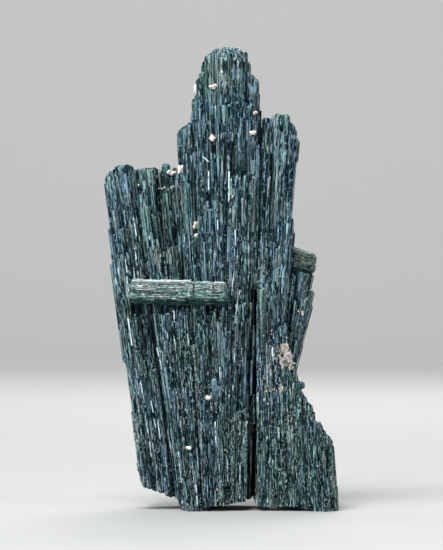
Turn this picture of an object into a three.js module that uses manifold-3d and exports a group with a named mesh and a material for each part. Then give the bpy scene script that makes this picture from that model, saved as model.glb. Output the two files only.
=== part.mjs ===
// A cluster of elbaite, the lithium tourmaline, with small grains of beryllonite on it.
// Long blue-green crystals stand side by side in five sprays that widen upwards, one stout crystal
// lies across the front, and another pokes out on the right.
// Millimetres: X runs across the front, Y away from the viewer and Z up from the broken base.
import * as THREE from "three";
import { mergeVertices } from "three/addons/utils/BufferGeometryUtils.js";
import Module from "manifold-3d";

const wasm = await Module();
wasm.setup();

const TOWER_TIP = 92; // the highest point of the cluster
const TOWER_HALF = 4.65; // half width of the tower's dome
const SHOULDER_TIP = 78.8;
const LEFT_TIP = 68.7;
const LEDGE = 40.8; // height of the ledge under the cross crystal
const WAIST = 27; // the side spray grows out of the foot spray at this height
const SEAM = 0.3; // open seam between neighbouring pieces
const KINK = 0.18; // how far a seam bends to the left per millimetre away from the middle depth
const GROOVE = 0.9; // how much further right the foot spray starts, which leaves an open groove
const FOOT_BACK = -5.4; // the foot spray's front slab lies before this depth, the shoulder behind it
const DEPTH_FOCUS = 260; // how far under the base the crystals' depth directions meet
const SIDES = 6; // sides of an upright prism: the two lying ones, which are rounder, have twice as many
const ROOT = -2; // crystals start this far under the base, which is cut afterwards
const BELOW = -10; // under every root
const ABOVE = 100; // above every tip
const BEYOND = 80; // outside the cluster on every side
const MIDDLE = [-0.375, -1.421]; // the point on the ground under the middle of the whole cluster

// Each spray's crystals point away from its focus, seen from the front.
const FANS = {
  left: { x: 64, z: -600 },
  flank: { x: 1, z: -74.6 },
  tower: { x: 1, z: -250 },
  shoulder: { x: 5.8, z: -40 },
  foot: { x: 4.5, z: 260 },
  side: { x: 10.5, z: 12 },
};

// The faces where two sprays meet, as x = at + lean * z - KINK * |y|.
const SEAMS = {
  leftCentre: { at: -8.1, lean: -0.128 },
  centreRight: { at: 6.9, lean: 0.018 },
  shoulderSide: { at: 9.4, lean: 0.122 },
};

// Two colours of crystal and the pale second mineral.
const MATERIALS = {
  elbaite: new THREE.MeshStandardMaterial({ color: 0x36545c, roughness: 0.38, metalness: 0 }),
  crossElbaite: new THREE.MeshStandardMaterial({ color: 0x6f9492, roughness: 0.45, metalness: 0 }),
  beryllonite: new THREE.MeshStandardMaterial({ color: 0xe9dccb, roughness: 0.55, metalness: 0 }),
};

// A repeatable stream of numbers from 0 to 1.
function numberStream(seed) {
  let state = seed;
  return () => {
    state = (state * 1664525 + 1013904223) % 4294967296;
    return state / 4294967296;
  };
}

// The geometry as a solid that can be joined and cut.
function solidOf(geometry) {
  const bare = new THREE.BufferGeometry();
  const flat = geometry.index ? geometry.toNonIndexed() : geometry;
  bare.setAttribute("position", flat.getAttribute("position"));
  const merged = mergeVertices(bare, 1e-4);
  return new wasm.Manifold(
    new wasm.Mesh({
      numProp: 3,
      vertProperties: merged.attributes.position.array,
      triVerts: new Uint32Array(merged.index.array),
    }),
  );
}

// The solid as a geometry for a mesh. Only its largest body is kept, which also fills sealed pores.
function geometryOf(solid) {
  const [body] = solid.decompose().sort((a, b) => b.volume() - a.volume());
  const mesh = body.getMesh();
  const points = new Float32Array(mesh.numVert * 3);
  for (let i = 0; i < mesh.numVert; i++)
    points.set(mesh.vertProperties.subarray(i * mesh.numProp, i * mesh.numProp + 3), i * 3);
  const geometry = new THREE.BufferGeometry();
  geometry.setAttribute("position", new THREE.BufferAttribute(points, 3));
  geometry.setIndex(new THREE.BufferAttribute(mesh.triVerts, 1));
  return geometry;
}

const join = (solids) => solids.reduce((whole, solid) => whole.add(solid));

// How far a crystal at this place leans, as X and Y per millimetre of Z.
function leanAt(fan, x, y, z) {
  return [(x - fan.x) / (z - fan.z), y / (z + DEPTH_FOCUS)];
}

// The x of a fan's crystal at height z, from its x on the ground.
const fanOut = (fan, ground, z) => ground + (z * (ground - fan.x)) / -fan.z;

// A crystal's cap as rings: each has its radius over the crystal's and its drop over the cap's height.
const BEVEL = [[1, 1], [0.74, 0]];
const PLAIN = [[1, 0]];
const DOME = [[1, 1], [0.86, 0.45], [0.5, 0.1]];
const FLAT_FRONT = Math.PI / 6; // the turn that puts a crystal's face to the front and edges to the sides

// One crystal: a six-sided prism that widens with its fan, under a low cap. tip is the middle of the
// cap, half its half width there, depth its depth over its width, and slant tips the cap.
function crystal(fan, tip, half, options = {}) {
  const { depth = 1, slant = [0, 0], cap = 0.45, rings = BEVEL, turn = FLAT_FRONT, root = ROOT } = options;
  const [x, y, z] = tip;
  const [leanX, leanY] = leanAt(fan, x, y, z);
  const axis = new THREE.Vector3(leanX, leanY, 1);
  const rise = z - root;
  const length = axis.length() * rise;
  const rootWidth = (root - fan.z) / (z - fan.z);
  const rootDepth = (root + DEPTH_FOCUS) / (z + DEPTH_FOCUS);
  const profile = [
    [0, 0],
    [half, 0],
    ...rings.map(([radius, drop]) => [half * radius, length - cap * drop]),
    [0, length],
  ].map(([r, h]) => new THREE.Vector2(r, h));
  const geometry = new THREE.LatheGeometry(profile, SIDES, turn);
  const points = geometry.getAttribute("position");
  for (let i = 0; i < points.count; i++) {
    const [px, py, pz] = [points.getX(i), points.getY(i), points.getZ(i)];
    const atRoot = py < length / 2;
    if (atRoot) points.setXYZ(i, px * rootWidth, py, pz * rootDepth);
    else points.setY(i, py + slant[0] * px - slant[1] * pz);
  }
  geometry.rotateX(Math.PI / 2); // the lathe's axis is Y: now it is Z
  geometry.scale(1, depth, 1);
  const upright = new THREE.Quaternion().setFromUnitVectors(
    new THREE.Vector3(0, 0, 1),
    axis.clone().normalize(),
  );
  geometry.applyQuaternion(upright);
  geometry.translate(x - leanX * rise, y - leanY * rise, root);
  return solidOf(geometry);
}

// Rows of crystals before and behind a spray's core. Each row has a depth on the ground, a usual
// height and a pitch; skyline limits the height at each x.
function rows(fan, list, skyline, seed) {
  const next = numberStream(seed);
  const made = [];
  for (const { y, top, from, to, pitch = 2.1, vary = 4 } of list)
    for (let ground = from + pitch / 2; ground < to; ground += pitch) {
      const wanted = top + vary * (2 * next() - 1);
      const place = ground + 0.35 * (2 * next() - 1);
      const x = fanOut(fan, place, wanted);
      const z = Math.min(wanted, skyline(x) - 1.5 - 2 * next());
      const spread = (z - fan.z) / -fan.z;
      const half = THREE.MathUtils.clamp(0.62 * pitch * spread, 1.15, 2.4);
      made.push(
        crystal(fan, [fanOut(fan, place, z), y + 0.3 * (2 * next() - 1), z], half, {
          depth: 1.1,
          rings: PLAIN,
          slant: [0.4 * (2 * next() - 1), 0.4 * next()],
          turn: next() * Math.PI,
        }),
      );
    }
  return made;
}

// Straight-line reading of a hand-picked outline: [x, z] points, left to right.
function outline(points) {
  return (x) => {
    if (x <= points[0][0]) return points[0][1];
    for (let i = 1; i < points.length; i++) {
      const [x0, z0] = points[i - 1];
      const [x1, z1] = points[i];
      if (x <= x1) return z0 + ((z1 - z0) * (x - x0)) / (x1 - x0);
    }
    return points[points.length - 1][1];
  };
}

// A solid that fills everything on one side of a seam: side is -1 for its left and 1 for its right.
// grow widens it across the seam.
function besideSeam({ at, lean }, side, grow = 0) {
  const near = side * (SEAM * 0.5 - grow);
  const far = side * BEYOND;
  const corner = (z, off) => [at + lean * z + off, z];
  const half = [corner(BELOW, near), corner(ABOVE, near), corner(ABOVE, far), corner(BELOW, far)];
  const before = slab(half, -BEYOND, BEYOND, KINK);
  const behind = slab(half, -BEYOND, BEYOND, -KINK);
  return side < 0 ? before.intersect(behind) : before.add(behind);
}

// A flat outline seen from the front, [x, z] points, as a solid from depth y0 to depth y1. skew is
// how far it moves along X per millimetre of depth.
function slab(points, y0, y1, skew = 0) {
  const loop = points.map(([x, z]) => new THREE.Vector2(x, z));
  if (THREE.ShapeUtils.area(loop) < 0) loop.reverse();
  const extrusion = { depth: y1 - y0, bevelEnabled: false };
  const geometry = new THREE.ExtrudeGeometry(new THREE.Shape(loop), extrusion);
  geometry.rotateX(Math.PI / 2); // the outline now stands in the XZ plane and runs towards -Y
  geometry.translate(0, y1, 0);
  geometry.applyMatrix4(new THREE.Matrix4().makeShear(0, 0, skew, 0, 0, 0));
  return solidOf(geometry);
}

// A box that holds everything behind a depth and above a height.
const behindAndAbove = (y, z) =>
  slab([[-BEYOND, z], [BEYOND, z], [BEYOND, ABOVE], [-BEYOND, ABOVE]], y, BEYOND);

// What the break took away below a spray, from its broken edge, [x, z] points, left to right.
function belowBreak(edge) {
  const [, first] = edge[0];
  const [, last] = edge[edge.length - 1];
  const loop = [[-BEYOND, BELOW], [-BEYOND, first], ...edge, [BEYOND, last], [BEYOND, BELOW]];
  return slab(loop, -BEYOND, BEYOND);
}

// Left spray: a parallel bundle that leans out to the left, with a round-shouldered top.
function leftSpray() {
  const fan = FANS.left;
  const skyline = outline([
    [-23.6, 64.5],
    [-22.6, 67.5],
    [-20.6, 68.4],
    [-18.4, 67.6],
    [-15.5, 67],
  ]);
  const crowns = [
    crystal(fan, [-22.2, 0.6, 67.6], 1.65, { depth: 1.8, slant: [0.45, 0] }),
    crystal(fan, [-20.0, 0.2, LEFT_TIP], 1.8, { depth: 1.7, slant: [-0.05, 0] }),
    crystal(fan, [-18.3, 1.2, 67.8], 1.6, { depth: 1.6, slant: [-0.15, 0] }),
    crystal(fan, [-16.9, 1.8, 67.4], 1.5, { depth: 1.5 }),
  ];
  const list = [
    { y: -4.9, top: 24, from: -15.4, to: -7.2, vary: 9 },
    { y: -3.4, top: 46, from: -15.7, to: -7.2, vary: 9 },
    { y: -1.6, top: 60, from: -15.8, to: -7, vary: 4 },
    { y: 3.0, top: 61, from: -15.6, to: -7, vary: 4 },
    { y: 4.8, top: 40, from: -15.4, to: -7.2, vary: 14 },
  ];
  const broken = belowBreak([
    [-18, 7.6],
    [-16.7, 7.2],
    [-15.9, 4.5],
    [-13.1, 3.5],
    [-10.3, 2.3],
    [-8.7, 1.6],
  ]);
  return join([...crowns, ...rows(fan, list, skyline, 11)])
    .intersect(besideSeam(SEAMS.leftCentre, -1))
    .subtract(broken);
}

// The outline of the centre spray's top, with the tower and its steps.
const CENTRE_SKYLINE = [
  [-17, 66.8],
  [-9.3, 66.8],
  [-9.2, 74.5],
  [-7.2, 76.5],
  [-6.9, 79],
  [-5.6, 81],
  [-4.8, 86],
  [-4, 89],
  [0.8, 92],
  [5.2, 89],
  [5.8, 86],
  [6.9, 85],
  [7.3, 79],
  [8.6, 77.5],
];

// Centre spray: the tall tower in the middle and the flank that fans out to its left, with a thick
// front layer that ends in a ledge under the cross crystal.
function centreSpray() {
  const { flank, tower } = FANS;
  const skyline = outline(CENTRE_SKYLINE);
  const dome = { depth: 0.88, cap: 3.2, rings: DOME, slant: [0.02, 0.08] };
  const crowns = [
    crystal(tower, [0.7, 0, TOWER_TIP], TOWER_HALF, dome),
    crystal(tower, [-1.6, -0.8, 90.6], 2.4, { cap: 1.2, slant: [0.35, 0] }),
    crystal(tower, [3.1, 0.4, 90.6], 2.3, { cap: 1.2, slant: [-0.35, 0] }),
    crystal(flank, [-4.2, 0.4, 86.6], 1.5, { depth: 1.7, slant: [0.9, 0] }),
    crystal(flank, [-5.2, 0.2, 81.6], 1.5, { depth: 1.7, slant: [0.4, 0] }),
    crystal(flank, [-6.0, 0.6, 79.2], 1.3, { depth: 1.8, slant: [0.3, 0] }),
    crystal(flank, [-7.6, 0.2, 76.2], 1.6, { depth: 1.8, slant: [0.6, 0] }),
    crystal(flank, [-9.1, 0.8, 68.2], 1.2, { depth: 1.7 }),
    crystal(flank, [-10.3, 1.4, 67.1], 1.3, { depth: 1.5 }),
    crystal(flank, [-11.5, 1.0, 69.0], 0.9, { depth: 1 }),
    crystal(flank, [-12.8, 1.2, 67.4], 1.5, { depth: 1.6 }),
    crystal(flank, [-15.2, 0.8, 67.8], 2.1, { depth: 1.5 }),
    crystal(tower, [5.7, 0.2, 86.2], 1.4, { depth: 1.9, slant: [-0.75, 0] }),
    crystal(tower, [6.4, 0.4, 79.6], 1.4, { depth: 1.9, slant: [-0.2, 0] }),
  ];
  const flankRows = [
    { y: -9.3, top: 25, from: -7.4, to: 1.2, pitch: 2.8, vary: 9 },
    { y: -8.1, top: LEDGE, from: -8.6, to: 1.2, pitch: 2.4, vary: 0.5 },
    { y: -6.0, top: LEDGE + 0.8, from: -8.6, to: -4.6, pitch: 2.0, vary: 0.8 },
    { y: -5.6, top: 60, from: -4.4, to: 1, pitch: 1.8, vary: 7 },
    { y: -3.8, top: 58, from: -8.6, to: -4.4, pitch: 2.1, vary: 4 },
    { y: -3.8, top: 76, from: -4.4, to: 1, pitch: 1.8, vary: 5 },
    { y: 4.0, top: 62, from: -8.4, to: -4.4, pitch: 2, vary: 4 },
    { y: 3.8, top: 76, from: -4.2, to: 1, pitch: 1.8, vary: 5 },
    { y: 6.4, top: 46, from: -8.2, to: 1, pitch: 3, vary: 16 },
  ];
  const towerRows = [
    { y: -9.3, top: 24, from: 1.0, to: 4.4, pitch: 1.7, vary: 9 },
    { y: -8.1, top: 41, from: 1, to: 4.4, pitch: 1.7, vary: 1.5 },
    { y: -6.4, top: 52, from: 1.0, to: 4.6, pitch: 1.8, vary: 5 },
    { y: -4.8, top: 68, from: 1, to: 5.8, pitch: 2.4, vary: 6 },
    { y: -3.2, top: 80, from: 1, to: 5.4, pitch: 2.2, vary: 3 },
    { y: 3.6, top: 76, from: 1, to: 5.8, pitch: 2.4, vary: 6 },
    { y: 6.2, top: 50, from: 1, to: 5.8, pitch: 2.4, vary: 16 },
  ];
  const broken = belowBreak([
    [-9.4, 1.7],
    [-7.8, 0.3],
    [-7.2, 0],
    [-4.2, 0],
    [-3.4, 0.8],
    [1, 1.2],
    [4, 1.8],
    [6.9, 2],
  ]);
  return join([...crowns, ...rows(flank, flankRows, skyline, 23), ...rows(tower, towerRows, skyline, 31)])
    .intersect(besideSeam(SEAMS.leftCentre, 1))
    .intersect(besideSeam(SEAMS.centreRight, -1))
    .subtract(broken);
}

// The room that the shoulder spray takes behind the foot spray's front slab, grown by the gap.
const shoulderRoom = (gap) =>
  besideSeam(SEAMS.centreRight, 1, gap)
    .intersect(besideSeam(SEAMS.shoulderSide, -1, gap))
    .intersect(behindAndAbove(FOOT_BACK + SEAM / 2 - gap, BELOW));

// The room that the side spray takes on top of the foot spray, grown by the gap.
const sideRoom = (gap) =>
  besideSeam(SEAMS.shoulderSide, 1, gap).intersect(behindAndAbove(FOOT_BACK + SEAM - gap, WAIST - gap));

// Shoulder spray: the right-hand fan, whose lower half stands behind the foot spray.
function shoulderSpray() {
  const fan = FANS.shoulder;
  const skyline = outline([
    [7.4, 78.2],
    [10, 78],
    [11.8, 78.8],
    [13.6, 77.2],
    [14.2, 75],
    [15.2, 73],
  ]);
  const crowns = [
    crystal(fan, [8.3, 0.6, 78.2], 1.5, { depth: 1.8, slant: [-0.2, 0] }),
    crystal(fan, [10.0, 0.8, 78.0], 1.5, { depth: 1.7 }),
    crystal(fan, [11.6, 0.2, SHOULDER_TIP], 1.8, { depth: 1.7, slant: [0.02, 0] }),
    crystal(fan, [13.2, 0.3, 77.4], 1.3, { depth: 1.8, slant: [-0.9, 0] }),
    crystal(fan, [14.2, 0.6, 74.4], 1.0, { depth: 2, slant: [-0.6, 0] }),
    crystal(fan, [13.2, -1, 57.6], 0.9, { depth: 1.6 }),
    crystal(fan, [13.4, 1.2, 55.4], 0.9, { depth: 1.5 }),
    crystal(fan, [13.4, -0.6, 46.9], 1.1, { depth: 1.8 }),
    crystal(fan, [13.2, 3.4, 44.0], 1.0, { depth: 1.8 }),
    crystal(fan, [12.3, 0.4, 36.0], 1.3, { depth: 2.6 }),
  ];
  const list = [
    { y: -4.6, top: 55, from: 6.0, to: 8.9, pitch: 1.45, vary: 7 },
    { y: -3.2, top: 70, from: 6.0, to: 8.8, pitch: 1.1, vary: 5 },
    { y: 3.2, top: 71, from: 6.0, to: 8.8, pitch: 1.2, vary: 5 },
    { y: 4.8, top: 54, from: 6.0, to: 9.0, pitch: 1.5, vary: 12 },
  ];
  const broken = belowBreak([
    [6, 1.2],
    [10, 0.8],
  ]);
  return join([...crowns, ...rows(fan, list, skyline, 47)])
    .intersect(shoulderRoom(0))
    .subtract(broken);
}

// Foot spray: the broad lower right bundle, cut off by a slanting break from the waist to the corner.
function footSpray() {
  const fan = FANS.foot;
  const slope = outline([
    [6.5, 44.6],
    [9, 44],
    [11, 38],
    [13, 30],
    [14.6, 26.4],
    [16.9, 20.4],
    [18.5, 17.4],
    [20.4, 15],
    [21.8, 13.4],
    [22.3, 9],
    [22.9, 3.6],
    [23.5, 2.8],
  ]);
  const columns = [7.5, 9.3, 11.1, 13.0, 14.9, 16.7, 18.5, 20.0, 21.1];
  const layers = [-9.2, -6.9, -4.0, -0.8, 2.4, 4.9];
  const next = numberStream(59);
  const made = [];
  for (const y of layers)
    for (const x of columns) {
      const inShoulder = y > FOOT_BACK && x < 11;
      if (inShoulder) continue;
      const outer = y === layers[0] || y === layers[layers.length - 1];
      const top = slope(x) - (outer ? 2 + 8 * next() : 1.2 * next());
      made.push(
        crystal(fan, [x, y + 0.3 * (2 * next() - 1), Math.max(top, 3.2)], x > 21 ? 0.85 : 1.35, {
          depth: 1.5,
          rings: PLAIN,
          slant: [x > 12 ? -0.9 : 0.3 * (2 * next() - 1), 0.3 * next()],
        }),
      );
    }
  made.push(crystal(fan, [15.5, -7.6, 24.9], 0.75, { depth: 1.1, root: 18 }));
  const broken = belowBreak([
    [6.4, 1.4],
    [7.8, 0.6],
    [11, 0.8],
    [14.5, 0.7],
    [17.6, 0],
    [23.1, 0],
    [24, 0.6],
  ]);
  const { at, lean } = SEAMS.centreRight;
  return join(made)
    .intersect(besideSeam({ at: at + GROOVE, lean }, 1))
    .subtract(shoulderRoom(SEAM))
    .subtract(sideRoom(SEAM))
    .subtract(broken);
}

// Side spray: the small bundle that leans out on the right, above the waist.
function sideSpray() {
  const fan = FANS.side;
  const tips = [
    [15.5, 0.2, 46.3, 1.2],
    [16.9, 0.6, 46.0, 1.1],
    [17.4, 0.9, 42.4, 0.8],
    [16.2, -1.4, 41.2, 1.1],
    [16.9, 2.2, 40.0, 0.9],
    [15.4, 2.6, 44.0, 1.3],
    [16.0, 0.4, 37.0, 0.9],
    [15.0, -2.0, 38.0, 1.2],
    [15.6, 4.0, 38.0, 1.1],
  ];
  const made = tips.map(([x, y, z, half], i) =>
    crystal(fan, [x, y, z], half, { depth: 1.3, turn: i, slant: [-0.2, 0.2], root: WAIST - 8 }),
  );
  return join(made).intersect(sideRoom(0));
}

// A crystal that lies along X, from its left end to its right end. half is its half thickness at each
// end, rim how rounded the ends are, and slant how far the left end is broken aslant. grow enlarges it.
function lyingCrystal({ from, to, half: [halfFrom, halfTo], rim, slant }, grow) {
  const start = new THREE.Vector3(...from);
  const run = new THREE.Vector3(...to).sub(start);
  const length = run.length();
  const profile = [
    [0, -grow],
    [halfFrom - rim + grow, -grow],
    [halfFrom + grow, rim],
    [halfTo + grow, length - rim],
    [halfTo - rim + grow, length + grow],
    [0, length + grow],
  ].map(([r, h]) => new THREE.Vector2(r, h));
  const geometry = new THREE.LatheGeometry(profile, 2 * SIDES);
  const points = geometry.getAttribute("position");
  for (let i = 0; i < points.count; i++)
    if (points.getY(i) < length / 2) points.setY(i, points.getY(i) + slant * points.getX(i));
  const along = new THREE.Quaternion().setFromUnitVectors(new THREE.Vector3(0, 1, 0), run.normalize());
  geometry.applyQuaternion(along);
  geometry.translate(...from);
  return solidOf(geometry);
}

// Cross crystal: a stout prism, 19 mm long, that lies on the ledge across the front.
const CROSS = {
  from: [-18.3, -7.9, 43.5],
  to: [0.5, -10, 43.1],
  half: [2.5, 2.15],
  rim: 0.4,
  slant: 0.16,
};

// Stub crystal: a short round-ended prism that sticks out between the shoulder and the side spray.
const STUB = {
  from: [12.2, 2.2, 49.8],
  to: [18.3, 1.4, 48.7],
  half: [2.7, 2.5],
  rim: 0.8,
  slant: 0,
};

// The beryllonite grains: where each sits, and its half width and half height.
const GRAINS = [
  { at: [-5.5, -0.3, 83.5], size: [0.6, 1.25] },
  { at: [-2.1, -3.3, 83.9], size: [0.8, 0.5] },
  { at: [6.3, -3.6, 78.8], size: [0.55, 0.4] },
  { at: [5.9, -4.8, 74.7], size: [0.8, 0.6] },
  { at: [-2.4, -5.1, 73.6], size: [0.55, 0.65] },
  { at: [-10.3, -0.3, 66.9], size: [0.75, 0.5] },
  { at: [-8.6, -5.2, 67.6], size: [0.5, 0.95] },
  { at: [-5.7, -5.5, 56.3], size: [0.5, 0.75] },
  { at: [-5.3, -5.5, 54.4], size: [0.5, 0.5] },
  { at: [-3.1, -11.0, 22.3], size: [0.55, 0.55] },
  { at: [-6.9, -11.1, 12.5], size: [0.55, 0.45] },
];

// The lumps that make up the crust of beryllonite at the waist: where each is and its half width.
const CRUST = [
  { at: [11.5, -9.2, 32.2], size: [1.0, 1.0] },
  { at: [12.6, -9.0, 31.8], size: [0.9, 0.9] },
  { at: [11.8, -9.8, 30.8], size: [1.0, 1.1] },
  { at: [13.2, -8.6, 30.2], size: [1.0, 1.1] },
  { at: [12.4, -9.9, 29.4], size: [1.0, 1.0] },
  { at: [13.6, -8.9, 28.8], size: [0.8, 0.9] },
  { at: [12.8, -9.8, 28.2], size: [0.8, 0.8] },
];

// One lump of a grain or the crust: a little crystal with flat faces. grow enlarges it.
function lump({ at, size: [wide, high] }, i, grow = 0) {
  const geometry = new THREE.IcosahedronGeometry(1, 0);
  geometry.rotateX(i);
  geometry.rotateZ(i * 1.7);
  geometry.scale(wide + grow, wide + grow, high + grow);
  geometry.translate(...at);
  return solidOf(geometry);
}

const crust = (grow) => join(CRUST.map((piece, i) => lump(piece, i + 2, grow)));

// The tourmaline pieces, each with room cut out for what lies on it.
const crossRoom = lyingCrystal(CROSS, SEAM);
const stubRoom = lyingCrystal(STUB, SEAM);
const grainRoom = join([...GRAINS.map((piece, i) => lump(piece, i, SEAM)), crust(SEAM)]);
const pieces = [
  ["left_spray", leftSpray().subtract(crossRoom).subtract(grainRoom), MATERIALS.elbaite],
  ["centre_spray", centreSpray().subtract(crossRoom).subtract(grainRoom), MATERIALS.elbaite],
  ["shoulder_spray", shoulderSpray().subtract(stubRoom).subtract(grainRoom), MATERIALS.elbaite],
  ["foot_spray", footSpray().subtract(grainRoom), MATERIALS.elbaite],
  ["side_spray", sideSpray().subtract(stubRoom), MATERIALS.elbaite],
  ["stub_crystal", lyingCrystal(STUB, 0), MATERIALS.elbaite],
  ["cross_crystal", lyingCrystal(CROSS, 0), MATERIALS.crossElbaite],
  ["beryllonite_crust", crust(0), MATERIALS.beryllonite],
  ...GRAINS.map((piece, i) => [`beryllonite_grain_${i + 1}`, lump(piece, i), MATERIALS.beryllonite]),
];

const cluster = new THREE.Group();
cluster.name = "elbaite_with_beryllonite";
cluster.position.set(-MIDDLE[0], -MIDDLE[1], 0);
for (const [name, solid, material] of pieces) {
  const mesh = new THREE.Mesh(geometryOf(solid), material);
  mesh.name = name;
  cluster.add(mesh);
}

export default cluster;
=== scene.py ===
"""A cluster of elbaite crystals with grains of beryllonite on it.

The classes' sizes are millimetres in the drawing's frame: X across the front, Y away from the
viewer and Z up, with the origin on the ground under the tower. Meshes are metres in the part's
frame, which differs by DRAWING_TO_PART.
"""

import logging
import math
from dataclasses import astuple, dataclass, field, fields
from enum import Enum

import bpy
import numpy as np
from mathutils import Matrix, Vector
from mathutils.bvhtree import BVHTree


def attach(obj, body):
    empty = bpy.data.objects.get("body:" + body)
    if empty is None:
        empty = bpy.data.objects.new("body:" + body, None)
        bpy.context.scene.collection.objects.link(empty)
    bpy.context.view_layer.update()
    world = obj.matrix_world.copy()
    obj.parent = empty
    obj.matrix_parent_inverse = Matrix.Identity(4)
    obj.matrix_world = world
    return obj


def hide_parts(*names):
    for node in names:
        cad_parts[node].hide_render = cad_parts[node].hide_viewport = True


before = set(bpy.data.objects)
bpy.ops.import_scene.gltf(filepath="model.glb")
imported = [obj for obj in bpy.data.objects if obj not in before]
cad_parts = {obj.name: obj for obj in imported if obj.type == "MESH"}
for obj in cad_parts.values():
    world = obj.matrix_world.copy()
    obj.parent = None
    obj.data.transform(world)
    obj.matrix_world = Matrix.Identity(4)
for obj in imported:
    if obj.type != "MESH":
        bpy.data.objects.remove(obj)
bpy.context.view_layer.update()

Array = np.ndarray
Random = np.random.Generator
Pair = tuple[float, float]
Point = tuple[float, float, float]
Piece = bpy.types.Object
Material = bpy.types.Material
Socket = bpy.types.NodeSocket

LOG = logging.getLogger("elbaite")
MM = 0.001
TURN = 2 * math.pi
DRAWING_TO_PART = np.array([0.375, 1.421, 0.0])
DEPTH_FOCUS = 260.0
FRAME_HEIGHT_MM = 110.0
CLUSTER_DEPTH = 20.0
FAR = 1e3  # a height that no crystal reaches, for a place with no solid
GLINTS = 1.15  # a crystal with a tint above this gets a painted glint on most of its sides
SHINES = 2.5  # and one with a tint above this on all of them


def to_part(points: Array) -> Array:
    """Turns drawing millimetres into part metres: (point + offset) / 1000."""
    return (points + DRAWING_TO_PART) * MM


def linear(colour: str) -> tuple[float, ...]:
    """Turns an sRGB hex colour to linear light.

    Args:
        colour: Six hex digits after a hash sign.

    Returns:
        Red, green, blue and alpha, each from 0 to 1.
    """
    parts = [int(colour[i : i + 2], 16) / 255 for i in (1, 3, 5)]
    light = [c / 12.92 if c <= 0.04045 else ((c + 0.055) / 1.055) ** 2.4 for c in parts]
    return (*light, 1.0)


def tube_faces(columns: int, rings: int, count: int = 1, turned: bool = False) -> list:
    """Numbers the corners of closed tubes, whose points are their rings and one for each end.

    A side face joins a point, the one beside it and the two above, and a fan closes each end.

    Args:
        columns: Points in a ring.
        rings: Rings in a tube.
        count: How many tubes there are.
        turned: Whether the rings run the other way round.

    Returns:
        The side faces and then the end faces.
    """
    here = np.arange(columns)
    beside = (here + 1) % columns
    if turned:
        here, beside = beside, here
    base = np.arange(rings - 1)[:, None] * columns
    quads = np.stack([base + here, base + beside, base + columns + beside, base + columns + here], axis=-1)
    top, middle = (rings - 1) * columns, rings * columns
    lower = np.stack([beside, here, np.full(columns, middle)], axis=-1)
    upper = np.stack([top + here, top + beside, np.full(columns, middle + 1)], axis=-1)
    first = np.arange(count)[:, None, None] * (middle + 2)
    ends = first + np.concatenate([lower, upper])
    return (first + quads.reshape(-1, 4)).reshape(-1, 4).tolist() + ends.reshape(-1, 3).tolist()


def make_object(name: str, points: Array, faces: list, smooth: bool = False) -> Piece:
    """Makes a mesh object at the origin.

    Args:
        name: The piece's name.
        points: Vertices in part metres, one row each.
        faces: Corner numbers of each face.
        smooth: Whether the faces are shaded smooth.

    Returns:
        The object, linked into the scene.
    """
    mesh = bpy.data.meshes.new(name)
    mesh.from_pydata(points.tolist(), [], faces)
    mesh.polygons.foreach_set("use_smooth", np.full(len(mesh.polygons), smooth))
    mesh.update()
    piece = bpy.data.objects.new(name, mesh)
    bpy.context.scene.collection.objects.link(piece)
    return piece


def add_attribute(piece: Piece, name: str, values: Array, domain: str = "POINT") -> None:
    """Stores vectors for the materials to read.

    Args:
        piece: The object whose mesh gets the attribute.
        name: The attribute's name.
        values: One row of three numbers for each vertex or face.
        domain: POINT for vertices or FACE for faces.
    """
    attribute = piece.data.attributes.new(name, "FLOAT_VECTOR", domain)
    attribute.data.foreach_set("vector", values.astype(np.float32).ravel())


def dress(piece: Piece, material: Material, slot: str, *nodes: str) -> Piece:
    """Gives a piece its material and its body, and hides the solids that it stands for.

    Args:
        piece: The finished object.
        material: Its finish.
        slot: The record's material slot. It is not used.
        *nodes: The solids that it replaces.

    Returns:
        The same object.
    """
    piece.data.materials.append(material)
    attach(piece, "root")
    if nodes:
        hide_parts(*nodes)
    LOG.info("%s: %d faces", piece.name, len(piece.data.polygons))
    return piece


class Coordinates(Enum):
    """Where a pattern is laid out: on the solid, in metres, or along the fibres, in millimetres."""

    SOLID = "Object"
    FIBRE = "fibre"


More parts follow.
